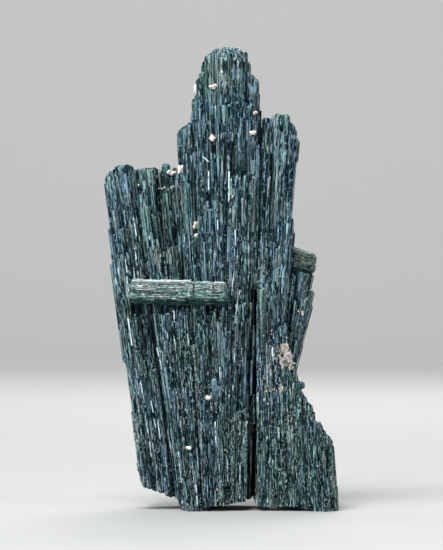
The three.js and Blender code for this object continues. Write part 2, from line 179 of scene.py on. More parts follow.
class Layers:
    """A material in the making: patterns sized in millimetres, and colours laid over one another."""

    def __init__(self, name: str, values: dict) -> None:
        """Makes the material.

        Args:
            name: Its name.
            values: What is the same all over it, by the shader's sockets.
        """
        self.material = bpy.data.materials.new(name)
        self.material.use_nodes = True
        self.tree = self.material.node_tree
        self.shader = self.tree.nodes["Principled BSDF"]
        for key, value in values.items():
            self.shader.inputs[key].default_value = value

    def add(self, kind: str, inputs: dict | None = None, **settings: object) -> bpy.types.Node:
        """Adds a shader node.

        Args:
            kind: The node's type name.
            inputs: A value or another node's output for each input socket, by name or number.
            **settings: The node's own settings.

        Returns:
            The new node.
        """
        node = self.tree.nodes.new(kind)
        for name, value in settings.items():
            setattr(node, name, value)
        for key, value in (inputs or {}).items():
            if isinstance(value, Socket):
                self.tree.links.new(value, node.inputs[key])
            else:
                node.inputs[key].default_value = value
        return node

    def pattern(
        self, across: float, along: float, kind: Coordinates = Coordinates.FIBRE, detail: float = 2.0
    ) -> Socket:
        """Adds a noise.

        Args:
            across: Grain size in X and Y, in millimetres.
            along: Grain size in Z, which is along the fibres.
            kind: Where it is laid out.
            detail: Octaves of finer noise.

        Returns:
            Its value, about 0.3 to 0.7.
        """
        if kind is Coordinates.SOLID:
            where = self.add("ShaderNodeTexCoord").outputs[kind.value]
            unit = MM
        else:
            where = self.add("ShaderNodeAttribute", attribute_name=kind.value).outputs["Vector"]
            unit = 1.0
        size = (1 / (across * unit), 1 / (across * unit), 1 / (along * unit))
        laid = self.add("ShaderNodeMapping", {"Vector": where, "Scale": size})
        inputs = {"Vector": laid.outputs[0], "Scale": 1.0, "Detail": detail}
        return self.add("ShaderNodeTexNoise", inputs).outputs["Fac"]

    def parts(self, name: str) -> list[Socket]:
        """Reads the three numbers of one of the piece's own attributes."""
        vector = self.add("ShaderNodeAttribute", attribute_name=name).outputs["Vector"]
        return list(self.add("ShaderNodeSeparateXYZ", {0: vector}).outputs)

    def share(
        self, value: Socket, low: float, high: float, end: float = 1.0, *also: Socket, start: float = 0.0
    ) -> Socket:
        """Finds how much of something shows, which changes smoothly as a value goes from low to high.

        Args:
            value: The value.
            low: Where the share starts to change.
            high: Where it stops.
            end: The share from high on.
            *also: Other shares that it is multiplied by.
            start: The share up to low.

        Returns:
            The share.
        """
        inputs = {"Value": value, "From Min": low, "From Max": high, "To Min": start, "To Max": end}
        made = self.add("ShaderNodeMapRange", inputs, interpolation_type="SMOOTHSTEP").outputs[0]
        for other in also:
            made = self.add("ShaderNodeMath", {0: made, 1: other}, operation="MULTIPLY").outputs[0]
        return made

    def coats(self, under: str | Socket, *over: tuple[Socket, str | Socket]) -> Socket:
        """Lays colours over one another.

        Args:
            under: The lowest colour, in hex or from a socket.
            *over: How much of each further colour shows, and the colour.

        Returns:
            The mixed colour.
        """
        for share, shown in over:
            first, second = (linear(c) if isinstance(c, str) else c for c in (under, shown))
            under = self.add("ShaderNodeMix", {0: share, 6: first, 7: second}, data_type="RGBA").outputs[2]
        return under

    def finish(self, looks: dict[str, Socket], relief: Socket, strength: float, deep: float) -> Material:
        """Joins what was made to the shader.

        Args:
            looks: What each of the shader's sockets gets.
            relief: The height of the bumps.
            strength: How strong they are.
            deep: How deep they are, in millimetres.

        Returns:
            The finished material.
        """
        inputs = {"Height": relief, "Strength": strength, "Distance": deep * MM}
        bumps = self.add("ShaderNodeBump", inputs).outputs[0]
        for name, made in {**looks, "Normal": bumps}.items():
            self.tree.links.new(made, self.shader.inputs[name])
        return self.material


@dataclass(frozen=True)
class ElbaiteNeedles:
    """Elbaite, as it grew: glassy striated prisms, grey-blue on top, and painted near-black teal in the
    gaps as painted shade.

    Lengthwise striations break its gloss into thin bright lines, and pale lines painted along the
    fibres add painted highlights. The real striations are a few hundredths of a millimetre apart, too
    fine to show, so they are drawn 0.3 mm apart. The four bodies and pales are those of plain, green,
    violet and grey crystals. Each pattern has the width and the length of its grains in millimetres.
    """

    name: str = "elbaite_as_grown"
    ior: float = 1.63
    dark: str = "#011116"
    bodies: tuple[str, ...] = ("#12333d", "#163b2c", "#1d2b4c", "#3a3b35")
    pales: tuple[str, ...] = ("#88abb3", "#8cae9f", "#8fa6c0", "#a8a8a0")
    # the colour of the painted highlight on glinting sides
    glint: str = "#dff0f8"
    dust: str = "#a9b5a4"
    deep_reflection: str = "#3e8590"
    reflection: str = "#c2dce1"
    striation: Pair = (0.3, 8.0)
    streak: Pair = (0.23, 7.0)
    dash: Pair = (0.3, 1.08)
    band: Pair = (0.5, 16.0)
    grain: Pair = (0.32, 0.512)
    patch: Pair = (9.0, 18.0)
    drift: Pair = (4.0, 6.0)
    dusty_below: float = 0.058  # height in metres
    calm: Pair = (0.035, 0.07)  # heights in metres between which the short marks grow fainter
    smoothest: float = 0.6
    dull_tip: float = 0.4
    dull_below: float = 0.048  # height in metres

    def build(self) -> Material:
        """Builds the material.

        Returns:
            The finished material.
        """
        layers = Layers(self.name, {"IOR": self.ior, "Metallic": 0.0})
        tint, hue, smooth = layers.parts("look")
        place = layers.add("ShaderNodeTexCoord").outputs["Object"]
        height = layers.add("ShaderNodeSeparateXYZ", {0: place}).outputs["Z"]
        streak = layers.pattern(*self.streak)
        dash = layers.pattern(*self.dash)
        band = layers.pattern(*self.band, detail=1.0)
        lined = layers.share(smooth, 0.0, 1.0, self.smoothest, start=1.0)
        flecked = layers.share(height, *self.calm, 0.8, lined, start=1.0)
        drift = layers.share(layers.pattern(*self.drift, Coordinates.SOLID, 3.0), 0.4, 0.6, start=0.1)
        low = layers.share(height, self.dusty_below, 0.01, 0.9, start=0.15)
        dusty = layers.share(layers.pattern(*self.grain), 0.57, 0.68, 1.0, low, drift)
        body, pale = self.hues(layers, hue)
        colour = layers.coats(
            self.dark,
            (layers.share(tint, 0.05, 0.7), body),
            (layers.share(tint, 0.55, 1.15, 0.9), pale),
            # Long lines, pale and dark: partly the striations' own tone and partly painted highlight and
            # painted shade between the fibres.
            (layers.share(streak, 0.57, 0.61, 1.0, lined), pale),  # long lines
            (layers.share(streak, 0.5, 0.45, 1.0, lined), self.dark),
            (layers.share(dash, 0.5, 0.42, 0.85, flecked), self.dark),  # short marks
            (layers.share(dash, 0.58, 0.64, 0.8, flecked), pale),
            # Painted highlight: the glint colour on sides whose tint is above 1, broken by the short marks.
            (layers.share(tint, 1.0, 1.4, 1.0, layers.share(dash, 0.36, 0.5)), self.glint),
            (layers.share(band, 0.54, 0.62, 0.6, smooth), pale),  # broad bands on stout crystals
            (layers.share(band, 0.48, 0.4, 0.9, smooth), self.dark),
            (dusty, self.dust),
        )
        facing = layers.add("ShaderNodeNewGeometry").outputs["True Normal"]
        tip = layers.add("ShaderNodeSeparateXYZ", {0: facing}).outputs["Z"]
        dull = layers.share(tip, 0.35, 0.7, self.dull_tip)
        matte = layers.add("ShaderNodeMath", {0: dull, 1: dusty}, operation="MAXIMUM").outputs[0]
        gloss = layers.share(dash, 0.35, 0.65, 0.12, start=0.3)
        rough = layers.add("ShaderNodeMath", {0: gloss, 1: matte}, operation="ADD", use_clamp=True).outputs[0]
        lines = {0: dash, 1: 0.35, 2: layers.pattern(*self.striation)}
        uneven = layers.add("ShaderNodeMath", lines, operation="MULTIPLY_ADD").outputs[0]
        tinge = layers.coats(
            self.deep_reflection,
            (layers.share(tint, 0.3, 0.9), self.reflection),
            (layers.share(height, self.dull_below, 0.0), self.deep_reflection),
        )
        looks = {"Base Color": colour, "Roughness": rough, "Specular Tint": tinge}
        return layers.finish(looks, uneven, 0.75, 0.06)

    def hues(self, layers: Layers, hue: Socket) -> list[Socket]:
        """Mixes a crystal's own colours, which depend on the crystal and on the patch it is in.

        Args:
            layers: The material.
            hue: The crystal's hue, from violet at 0 through grey in the middle to green at 1.

        Returns:
            The colour of its body and that of its pale lines.
        """
        patch = layers.pattern(*self.patch, Coordinates.SOLID)
        tone = layers.add("ShaderNodeMath", {0: hue, 1: 0.3, 2: patch}, operation="MULTIPLY_ADD").outputs[0]
        green = layers.share(tone, 0.67, 0.78, 0.7)
        violet = layers.share(tone, 0.63, 0.52, 0.5)
        grey = layers.share(hue, 0.3, 0.45, 0.6, layers.share(hue, 0.7, 0.55))
        kinds = (self.bodies, self.pales)
        return [layers.coats(c[0], (green, c[1]), (violet, c[2]), (grey, c[3])) for c in kinds]


@dataclass(frozen=True)
class ElbaitePrism:
    """Elbaite, one stout grown prism: ribbed lengthwise, rosy on top under a painted highlight, and dark
    green below.

    Fine striations give it a silky gloss in long lines. Every break across a rib is painted dark, and so
    are sunk ribs, as painted shade and dirt, while proud ribs are painted pale as painted highlight. The
    real striations are too fine to show, so they are drawn 0.25 mm apart. The two turns of colour, below
    and at the crown, are millimetres over the axis: below the first the underside is dark green, partly
    its own colour and partly painted shade, and above the second is a painted highlight.
    """

    name: str = "elbaite_stout_prism"
    ior: float = 1.63
    dark: str = "#071516"
    body: str = "#2b5c59"
    pale: str = "#6f9d99"
    rosy: str = "#8f8989"
    green: str = "#5f9584"
    # dark green of the underside, of sunk ribs and of dark chips: partly its own colour, partly painted shade
    under: str = "#0a2321"
    # pale of proud ribs and of the crown's painted highlight, and of some chips
    edge: str = "#c3cdc4"
    below_reflection: str = "#74b3aa"
    below: Pair = (0.65, -0.45)
    crown: Pair = (2.12, 2.42)
    striation: Pair = (0.25, 5.0)
    streak: Pair = (0.24, 1.3)
    chip: Pair = (0.36, 0.6)
    stain: Pair = (0.5, 1.3)
    patch: float = 2.2

    def build(self) -> Material:
        """Builds the material. The way up is the fibre coordinates' X, in millimetres off the axis.

        Returns:
            The finished material.
        """
        layers = Layers(self.name, {"IOR": self.ior, "Metallic": 0.0})
        up = layers.parts("fibre")[0]
        level, block, groove = layers.parts("look")
        streak = layers.pattern(*self.streak, detail=4.0)
        chips = layers.pattern(*self.chip, detail=3.0)
        stain = layers.pattern(*self.stain)
        patch = layers.pattern(self.patch, self.patch, Coordinates.SOLID, 3.0)
        wavy = layers.add("ShaderNodeMath", {0: patch, 1: 2.5, 2: up}, operation="MULTIPLY_ADD").outputs[0]
        below = layers.share(wavy, *self.below)
        grooved = layers.add("ShaderNodeMath", {0: groove, 1: 0.75}, operation="MULTIPLY").outputs[0]
        colour = layers.coats(
            self.body,
            (layers.share(streak, 0.44, 0.6), self.pale),
            (layers.share(stain, 0.52, 0.6, 0.9, layers.share(up, -0.9, 1.0)), self.rosy),
            (layers.share(stain, 0.5, 0.38, 0.85, layers.share(up, 1.6, -0.4)), self.green),
            (layers.share(block, 0.1, 0.6, 0.4), self.rosy),
            # Proud ribs are painted pale, as painted highlight, and sunk ones dark, as painted shade and
            # dirt.
            (layers.share(level, 0.15, 0.9, 0.6), self.edge),
            (layers.share(level, -0.15, -0.6, 0.85), self.under),
            (layers.share(chips, 0.48, 0.38, 0.85), self.under),
            (layers.share(chips, 0.56, 0.64, 0.65), self.edge),
            # The underside below a wavy line is painted dark green: partly its own colour, partly painted
            # shade.
            (layers.share(wavy, *self.below, 0.93), self.under),
            (layers.share(chips, 0.56, 0.66, 0.45, below), self.green),
            # Painted highlight: a pale line along the top of the crown.
            (layers.share(up, *self.crown, 0.8), self.edge),
            (layers.share(streak, 0.43, 0.33), self.dark),
            # Grooves, breaks and cracks are painted dark, as painted shade and dirt.
            (grooved, self.dark),
        )
        rough = layers.share(streak, 0.3, 0.7, 0.5, start=0.28)
        tinge = layers.coats("#ffffff", (below, self.below_reflection))
        looks = {"Base Color": colour, "Roughness": rough, "Specular Tint": tinge}
        return layers.finish(looks, layers.pattern(*self.striation), 0.7, 0.06)


@dataclass(frozen=True)
class Beryllonite:
    """Beryllonite, as it grew: milky cream grains with a soft glassy lustre and a little rust."""

    name: str = "beryllonite_as_grown"
    ior: float = 1.56
    body: str = "#f1ebe1"
    shade: str = "#cfbfae"
    rust: str = "#a08a76"
    cloud: float = 0.5
    grit: float = 0.2
    milk_depth: float = 0.4
    milk_colour: Point = (1.0, 0.85, 0.7)

    def build(self) -> Material:
        """Builds the material.

        Returns:
            The finished material.
        """
        milk = {
            "Subsurface Weight": 0.15,
            "Subsurface Scale": self.milk_depth * MM,
            "Subsurface Radius": self.milk_colour,
        }
        layers = Layers(self.name, {"IOR": self.ior, "Metallic": 0.0, **milk})
        cloud = layers.pattern(self.cloud, self.cloud, Coordinates.SOLID, 3.0)
        grit = layers.pattern(self.grit, self.grit, Coordinates.SOLID)
        colour = layers.coats(
            self.body,
            (layers.share(cloud, 0.42, 0.62), self.shade),
            (layers.share(grit, 0.6, 0.72, 0.6), self.rust),
        )
        rough = layers.share(cloud, 0.3, 0.7, 0.6, start=0.35)
        return layers.finish({"Base Color": colour, "Roughness": rough}, grit, 0.4, 0.04)


class Side(Enum):
    """A side of a spray, as a direction in X and Y."""

    FRONT = (0, -1)
    BACK = (0, 1)
    LEFT = (-1, 0)
    RIGHT = (1, 0)


@dataclass
class Lines:
    """The straight ways that crystals grow along, away from a focus, which is X and Z.

    x and y are where each line is at the level.
    """

    x: Array
    y: Array
    focus: Pair
    level: float

    def across(self, heights: Array) -> Array:
        """How wide the fan is at some heights: (height - focus) / (level - focus)."""
        return (heights - self.focus[1]) / (self.level - self.focus[1])

    def deep(self, heights: Array) -> Array:
        """How deep the cluster is there: (height + DEPTH_FOCUS) / (level + DEPTH_FOCUS)."""
        return (heights + DEPTH_FOCUS) / (self.level + DEPTH_FOCUS)

    def at(self, heights: Array) -> Array:
        """Finds each line's point at its height: off the focus by across, and at y * deep."""
        x = self.focus[0] + (self.x - self.focus[0]) * self.across(heights)
        return np.stack([x, self.y * self.deep(heights), heights + 0 * x], axis=-1)

    def pick(self, chosen: Array) -> "Lines":
        """Keeps only the chosen lines."""
        return Lines(self.x[chosen], self.y[chosen], self.focus, self.level)


class Solid:
    """Some solids, for finding where a line goes in and out of them."""

    above = 110.0
    below = -12.0
    away = np.array([0, 60.0, 0])

    def __init__(self, *pieces: Piece) -> None:
        """Reads the faces of the objects that hold them.

        Args:
            *pieces: The objects.
        """
        points, corners = [], []
        for mesh in (piece.data for piece in pieces):
            flat = np.zeros(len(mesh.vertices) * 3)
            mesh.vertices.foreach_get("co", flat)
            turn = np.zeros(len(mesh.loops), int)
            mesh.loops.foreach_get("vertex_index", turn)
            starts = np.zeros(len(mesh.polygons), int)
            mesh.polygons.foreach_get("loop_start", starts)
            corners += [part.tolist() for part in np.split(turn + len(points), starts[1:])]
            points += flat.reshape(-1, 3).tolist()
        self.tree = BVHTree.FromPolygons(points, corners)

    def first(self, start: Array, end: Array) -> Array:
        """Finds where each straight way first meets the solid.

        Args:
            start: Points in drawing millimetres.
            end: Points that the ways run towards.

        Returns:
            Points in drawing millimetres, or not a number where there is no meeting.
        """
        ways = zip(to_part(start), to_part(end) - to_part(start))
        hits = (self.tree.ray_cast(Vector(a), Vector(way))[0] for a, way in ways)
        found = np.array([(np.nan,) * 3 if hit is None else tuple(hit) for hit in hits])
        return found / MM - DRAWING_TO_PART

    def span(self, lines: Lines) -> tuple[Array, Array]:
        """Finds the lowest and the highest height of each line in the solid.

        Args:
            lines: The lines.

        Returns:
            The two heights of each.
        """
        high = lines.at(np.full(len(lines.x), self.above))
        low = lines.at(np.full(len(lines.x), self.below))
        return self.first(low, high)[:, 2], self.first(high, low)[:, 2]

    def front(self, places: Array) -> Array:
        """Finds the depth of the front at some places, seen along Y."""
        return self.first(places - self.away, places + self.away)[:, 1]


@dataclass
class Crystals:
    """Thin crystals as arrays: the middle of each foot and tip, and how each one looks.

    The girth is the radius in X and in Y, at the foot and at the tip. The slope is the rise of the
    tip's face for each millimetre in X and in Y.
    """

    foot: Array
    tip: Array
    girth: Array
    slope: Array
    tint: Array

    def pick(self, chosen: Array) -> "Crystals":
        """Keeps only the chosen crystals."""
        return Crystals(*(getattr(self, part.name)[chosen] for part in fields(self)))

    @staticmethod
    def together(groups: "list[Crystals]") -> "Crystals":
        """Joins several groups of crystals."""
        arrays = ([getattr(group, part.name) for group in groups] for part in fields(Crystals))
        return Crystals(*map(np.concatenate, arrays))


@dataclass(frozen=True)
class NeedleShape:
    """The form of a thin crystal: an uneven prism with six sides and a bevelled, slanted tip."""

    sides: int = 6
    flute: float = 0.16
    askew: float = 0.22
    bevel: float = 0.09
    shrink: Pair = (0.6, 0.88)
    uneven: float = 0.36  # how much the sides of one crystal differ in tint, as painted highlight and painted shade on its faces
    # the share of a glinting crystal's sides that get the painted glint
    bright_sides: float = 0.6
    palest_dull: float = 0.98
    stout: Pair = (0.2, 0.7)
    pattern_room: float = 80.0  # millimetres that the crystals' own patterns are spread over

    def mesh(self, crystals: Crystals, rng: Random) -> tuple[Array, list, Array]:
        """Works out every crystal as three rings of points, and a point in the middle of each end.

        A ring's point is the middle plus girth * size * flute in the direction of its angle, and
        those of the two upper rings also rise by the slope times the way from the middle.

        Args:
            crystals: The crystals.
            rng: The random numbers.

        Returns:
            Points, faces, and each point's fibre coordinates.
        """
        count, sides = len(crystals.tint), self.sides
        length = crystals.tip[:, 2] - crystals.foot[:, 2]
        edge = 1 - np.minimum(self.bevel, 0.2 * length) / length
        part = np.stack([np.zeros(count), edge, np.ones(count)], axis=1)[:, :, None]
        middle = crystals.foot[:, None] * (1 - part) + crystals.tip[:, None] * part
        girth = crystals.girth[:, :1] * (1 - part) + crystals.girth[:, 1:] * part
        size = np.stack([np.ones(count), np.ones(count), rng.uniform(*self.shrink, count)], axis=1)
        turn = np.arange(sides) / sides * TURN + rng.uniform(0, TURN, (count, 1))
        turn = turn + rng.uniform(-self.askew, self.askew, (count, sides))
        flute = 1 + rng.uniform(-self.flute, self.flute, (count, sides))
        round_it = np.stack([np.cos(turn), np.sin(turn)], axis=-1) * flute[..., None]
        off = girth[:, :, None, :] * size[:, :, None, None] * round_it[:, None]
        rise = (off * crystals.slope[:, None, None]).sum(axis=-1) * np.array([0, 1, 1])[None, :, None]
        rings = middle[:, :, None] + np.concatenate([off, rise[..., None]], axis=-1)
        points = np.concatenate([rings.reshape(count, -1, 3), middle[:, [0, -1]]], axis=1)
        shift = rng.uniform(0, self.pattern_room, (count, 1, 3))
        flat = np.concatenate([off, rings[..., 2:]], axis=-1).reshape(count, -1, 3)
        ends = middle[:, [0, -1]] * np.array([0, 0, 1])
        fibre = np.concatenate([flat, ends], axis=1) + shift
        return points.reshape(-1, 3), tube_faces(sides, 3, count), fibre.reshape(-1, 3)

    def looks(self, crystals: Crystals, hues: Pair, rng: Random) -> Array:
        """Gives each face its look: how pale it is, its hue and how smooth it is.

        The sides of one crystal differ in tint, as painted highlight and painted shade on its faces, and
        only some sides get a painted glint, unless the crystal has one all round. Stout crystals are the
        smoothest.

        Args:
            crystals: The crystals.
            hues: The lowest and the highest hue.
            rng: The random numbers.

        Returns:
            Three numbers for each face, in the order of the faces.
        """
        count, sides = len(crystals.tint), self.sides
        glints = (crystals.tint > GLINTS)[:, None]
        tint = crystals.tint[:, None] + rng.normal(0, self.uneven, (count, sides + 2))
        share = np.where(crystals.tint > SHINES, 1.0, self.bright_sides)[:, None]
        bright = glints & (rng.random(tint.shape) < share)
        tint = np.where(bright, tint, np.minimum(tint - glints, self.palest_dull))
        hue = np.broadcast_to(rng.uniform(*hues, (count, 1)), tint.shape)
        smooth = np.clip(np.interp(crystals.girth[:, 1, :1], self.stout, [0, 1]), 0, 1)
        look = np.stack([tint, hue, np.broadcast_to(smooth, tint.shape)], axis=-1)
        upright = np.tile(look[:, :sides], (1, 2, 1))
        ends = np.repeat(look[:, sides:], sides, axis=1)
        return np.concatenate([upright.reshape(-1, 3), ends.reshape(-1, 3)])


@dataclass(frozen=True)
class Obstacle:
    """A rounded thing on the front that crystals end under."""

    centre: Point
    half: Point
    slope: float = 0.0

    def clip(self, feet: Array, tips: Array) -> Array:
        """Finds how much of each crystal is left under the obstacle.

        A crystal at distance d from the obstacle's middle, over its half depth, ends at
        z - half height * sqrt(1 - d^2).

        Args:
            feet: The crystals' feet.
            tips: Their tips.

        Returns:
            The share of the way from foot to tip that is left, from 0 to 1.
        """
        x, y, z = self.centre
        rise = tips[:, 2] - feet[:, 2]
        there = feet + (tips - feet) * ((z - feet[:, 2]) / rise)[:, None]
        off_x = np.abs(there[:, 0] - x) / self.half[0]
        off_y = (there[:, 1] - y - self.slope * (there[:, 0] - x)) / self.half[1]
        inside = (off_x < 1) & (np.abs(off_y) < 1)
        under = z - self.half[2] * np.sqrt(np.clip(1 - off_y**2, 0, 1))
        return np.where(inside, np.clip((under - feet[:, 2]) / rise, 0, 1), 1.0)


@dataclass(frozen=True)
class Cleft:
    """A dark gap between the crystals on the front, where they are missing to some depth and the crystals in
    and round it are painted darker, as painted shade.
    """

    x: float
    width: float
    low: float
    high: float
    depth: float
    # the tint that the crystals in and round the gap are painted down to, as painted shade
    shade: float = 0.08

    @property
    def through(self) -> bool:
        """Whether the gap goes right through the cluster."""
        return self.depth > CLUSTER_DEPTH

    @property
    def middle(self) -> float:
        """The height halfway up the gap."""
        return (self.low + self.high) / 2

    def holds(self, lines: Lines, depths: Array) -> Array:
        """Finds which lines run through the gap, given how far each is behind the front."""
        there = lines.at(np.full(len(lines.x), self.middle))
        return (np.abs(there[:, 0] - self.x) < self.width / 2) & (depths < self.depth)


@dataclass(frozen=True)
class Standout:
    """One crystal that stands out, with its tip and its foot seen from the front.

    Its depth is that of the front there, unless one is given.
    """

    tip_x: float
    tip_z: float
    foot_x: float
    foot_z: float
    width: float
    # a tint above GLINTS paints glints on some of its sides, and above SHINES on all of them
    tint: float
    depth: float = math.nan


@dataclass
class Bed:
    """The lines of one sector, where each enters and leaves the solid, and their grid, X by Y."""

    lines: Lines
    low: Array
    top: Array
    shape: tuple[int, int]
    pitch: float

    def depths(self, low: Array, height: float) -> Array:
        """Finds how far each line is behind the front of the solid at a height.

        Args:
            low: Where the crystals on the lines start.
            height: The height.

        Returns:
            The distances in Y.
        """
        there = (low.reshape(self.shape) < height) & (self.top.reshape(self.shape) > height)
        y = self.lines.y.reshape(self.shape)
        return (y - np.min(np.where(there, y, np.inf), axis=1, keepdims=True)).ravel()


@dataclass
class Sector:
    """A part of a spray with one focus, whose crystals stand on a grid at its level."""

    focus: Pair
    level: float
    x: Pair
    y: Pair
    pitch: float = 0.62
    astray: float = 0.22

    def bed(self, solid: Solid, rng: Random) -> Bed:
        """Lays out the crystals in rows, every other row shifted by half, each a little off its place.

        Args:
            solid: The solid that they fill.
            rng: The random numbers.

        Returns:
            The lines and their grid.
        """
        xs = np.arange(self.x[0], self.x[1], self.pitch)
        ys = np.arange(self.y[0], self.y[1], self.pitch * 0.9)
        x, y = np.meshgrid(xs, ys, indexing="ij")
        x = x + 0.5 * self.pitch * (np.arange(len(ys)) % 2)
        x = x + rng.uniform(-self.astray, self.astray, x.shape) * self.pitch
        y = y + rng.uniform(-self.astray, self.astray, y.shape) * self.pitch
        lines = Lines(x.ravel(), y.ravel(), self.focus, self.level)
        return Bed(lines, *solid.span(lines), x.shape, self.pitch)


@dataclass
class Spray:
    """A spray of thin crystals that fill one solid.

    Long ones fill it from the base to its top. Shorter ones overlap like slates on every bare
    side, each with its foot hidden and its tip standing out.
    """

    node: str
    sectors: list[Sector]
    seed: int
    bare: dict[Side, float]
    obstacles: list[Obstacle] = field(default_factory=list)
    clefts: list[Cleft] = field(default_factory=list)
    standouts: list[Standout] = field(default_factory=list)
    crest: float = 4.0  # how far below its highest line the neat crown reaches
    crown: Point = (0.15, 0.12, 0.8)  # its tips stand proud, are uneven, and a few are short
    crown_radius: Pair = (0.6, 0.05)  # mean and spread, in pitches
    crown_tint: Pair = (0.35, 0.65)
    ragged: float = 2.2
    overshoot: float = 4.0
    lowest_tip: float = 2.0
    lift: float = 0.0
    foot_ragged: float = 0.35
    radius: Pair = (-0.7, 0.2)  # mean and spread of its logarithm, in pitches
    tint: Pair = (0.05, 0.6)
    slant: Pair = (0.4, 0.45)  # of the long ones' tips and of the short ones'
    broken: Pair = (0.8, 0.24)  # how ragged a cleft's ends are, and those of one right through
    shortest: float = 1.0
    stump: float = 0.8  # the shortest that may be left under an obstacle
    tile: float = 1.02  # area that one short crystal covers
    under_top: Pair = (0.4, 1.8)
    length: Pair = (6.3, 4.5)  # at the ground and at high, as is the girth
    length_limits: Pair = (2.5, 26)
    girth: Pair = (0.135, 0.27)
    girth_limits: Pair = (0.09, 0.8)
    high: float = 90.0
    chance: Pair = (0.5, 0.4)  # spread of the logarithm of the length and of the girth
    proud: Pair = (0.05, 0.6)
    sideways: float = 0.15
    gloom: float = 2.0  # how far round a cleft the crystals are painted dark, as painted shade
    steepest: float = 1.1
    bare_least: float = 1.5
    paleness: Pair = (0.8, 0.97)  # at the ground and at pale_top
    pale_top: float = 50.0
    pale_curve: Pair = (0.95, 1.5)
    # The share of thin crystals that get painted glints, the tint added to mark them, and the girth they must
    # be under.
    glints: float = 0.13
    glint_tint: float = 1.2
    glint_girth: float = 0.17
    hues: Pair = (0.0, 1.0)
    clear: Pair = (0.5, 0.85)  # how far before the front the crystals that stand out are
    sunk: float = 0.35
    shape: NeedleShape = field(default_factory=NeedleShape)

    def tips(self, tops: Array, rng: Random) -> tuple[Array, Array]:
        """Gives each long crystal its tip's height.

        Near the highest line of the spray the tip is the solid's. Elsewhere it is the mean of the
        solid's heights round it, plus chance, so that tips climb evenly from the front to the crest.

        Args:
            tops: The solid's heights, X by Y, not a number where there is no solid.
            rng: The random numbers.

        Returns:
            The tips' heights, and which are near the crest.
        """
        padded = np.pad(tops, ((1, 1), (2, 2)), constant_values=np.nan)
        around = np.lib.stride_tricks.sliding_window_view(padded, (3, 5)).reshape(*tops.shape, 15)
        highest = np.max(np.nan_to_num(tops, nan=-FAR), axis=1, keepdims=True)
        number = np.maximum(1, (~np.isnan(around)).sum(axis=2))
        soft = np.where(np.isnan(tops), np.nan, np.nansum(around, axis=2) / number)
        loose = soft + rng.normal(0, self.ragged, tops.shape)
        loose = np.clip(loose, self.lowest_tip, None)
        loose = np.minimum(loose, np.minimum(tops + self.overshoot, highest - 1))
        near = tops > highest - self.crest
        pits = rng.random(tops.shape)
        proud, uneven, short = self.crown
        crown = tops + proud - uneven * pits - short * (pits > 0.95)
        return np.where(near, crown, loose) + self.lift, near

    def rise(self, tops: Array, places: Array, axis: int) -> Array:
        """Finds how steeply the top of the solid rises along one axis of the grid.

        Args:
            tops: The solid's heights, X by Y.
            places: The lines' places along that axis.
            axis: 0 for X and 1 for Y.

        Returns:
            The gentler of the slopes towards the two neighbours, within limits.
        """
        with np.errstate(invalid="ignore", divide="ignore"):
            step = np.diff(tops, axis=axis) / np.diff(places, axis=axis)
        edge = np.full_like(step.take([0], axis), np.nan)
        before = np.concatenate([edge, step], axis=axis)
        after = np.concatenate([step, edge], axis=axis)
        gentler = np.where(np.abs(before) < np.abs(after), before, after)
        gentler = np.where(np.isnan(after), before, gentler)
        return np.clip(np.nan_to_num(gentler), -self.steepest, self.steepest)

    def bared(self, tops: Array) -> tuple[Array, Array]:
        """Finds the stretch of each line that shows on a bare side, and which way it faces.

        From one side, a line shows above the highest of the lines before it.

        Args:
            tops: The solid's heights, X by Y.

        Returns:
            The height that each shows above, and the direction it faces, in X and Y.
        """
        flat = np.nan_to_num(tops, nan=-FAR)
        lowest = np.full(tops.shape, FAR)
        facing = np.zeros((*tops.shape, 2))
        for side, start in self.bare.items():
            axis = 0 if side.value[0] else 1
            ahead = sum(side.value) < 0
            turned = flat if ahead else np.flip(flat, axis)
            edge = np.full_like(turned.take([0], axis), -FAR)
            before = np.concatenate([edge, np.delete(turned, -1, axis)], axis=axis)
            hidden = np.maximum.accumulate(before, axis=axis)
            hidden = np.maximum(hidden if ahead else np.flip(hidden, axis), start)
            shows = flat > hidden + self.bare_least
            facing += shows[..., None] * np.array(side.value)
            lowest = np.where(shows, np.minimum(lowest, hidden), lowest)
        length = np.linalg.norm(facing, axis=-1, keepdims=True)
        facing = np.where(length > 0, facing / np.maximum(length, 1e-6), (0, -1))
        return lowest, facing

    def long_ones(self, bed: Bed, rng: Random) -> Crystals:
        """Makes the crystals that fill the solid, broken off where a cleft is.

        Each is as wide at every height as the fan is there.

        Args:
            bed: The lines that they stand on.
            rng: The random numbers.

        Returns:
            The crystals.
        """
        lines, low, count = bed.lines, bed.low, len(bed.low)
        tops = bed.top.reshape(bed.shape)
        high, near = self.tips(tops, rng)
        places = lines.at(np.nan_to_num(bed.top, nan=0.0)).reshape(*bed.shape, 3)
        steep = np.stack([self.rise(tops, places[..., axis], axis) for axis in (0, 1)], axis=-1)
        chance = rng.normal(0, self.slant[0], steep.shape)
        slope = np.where(near[..., None], steep + 0.2 * chance, chance).reshape(-1, 2)
        high, near = high.ravel(), near.ravel()
        low = np.where(low > 0.05, low + rng.uniform(0, self.foot_ragged, count), low)
        radius = np.where(near, rng.normal(*self.crown_radius, count), rng.lognormal(*self.radius, count))
        radius = bed.pitch * radius
        tint = np.where(near, rng.uniform(*self.crown_tint, count), rng.uniform(*self.tint, count) ** 1.3)
        spans = [(low, high, np.ones(count, bool))]
        for cleft in self.clefts:
            depths = bed.depths(low, cleft.middle)
            inside = cleft.holds(lines, depths)
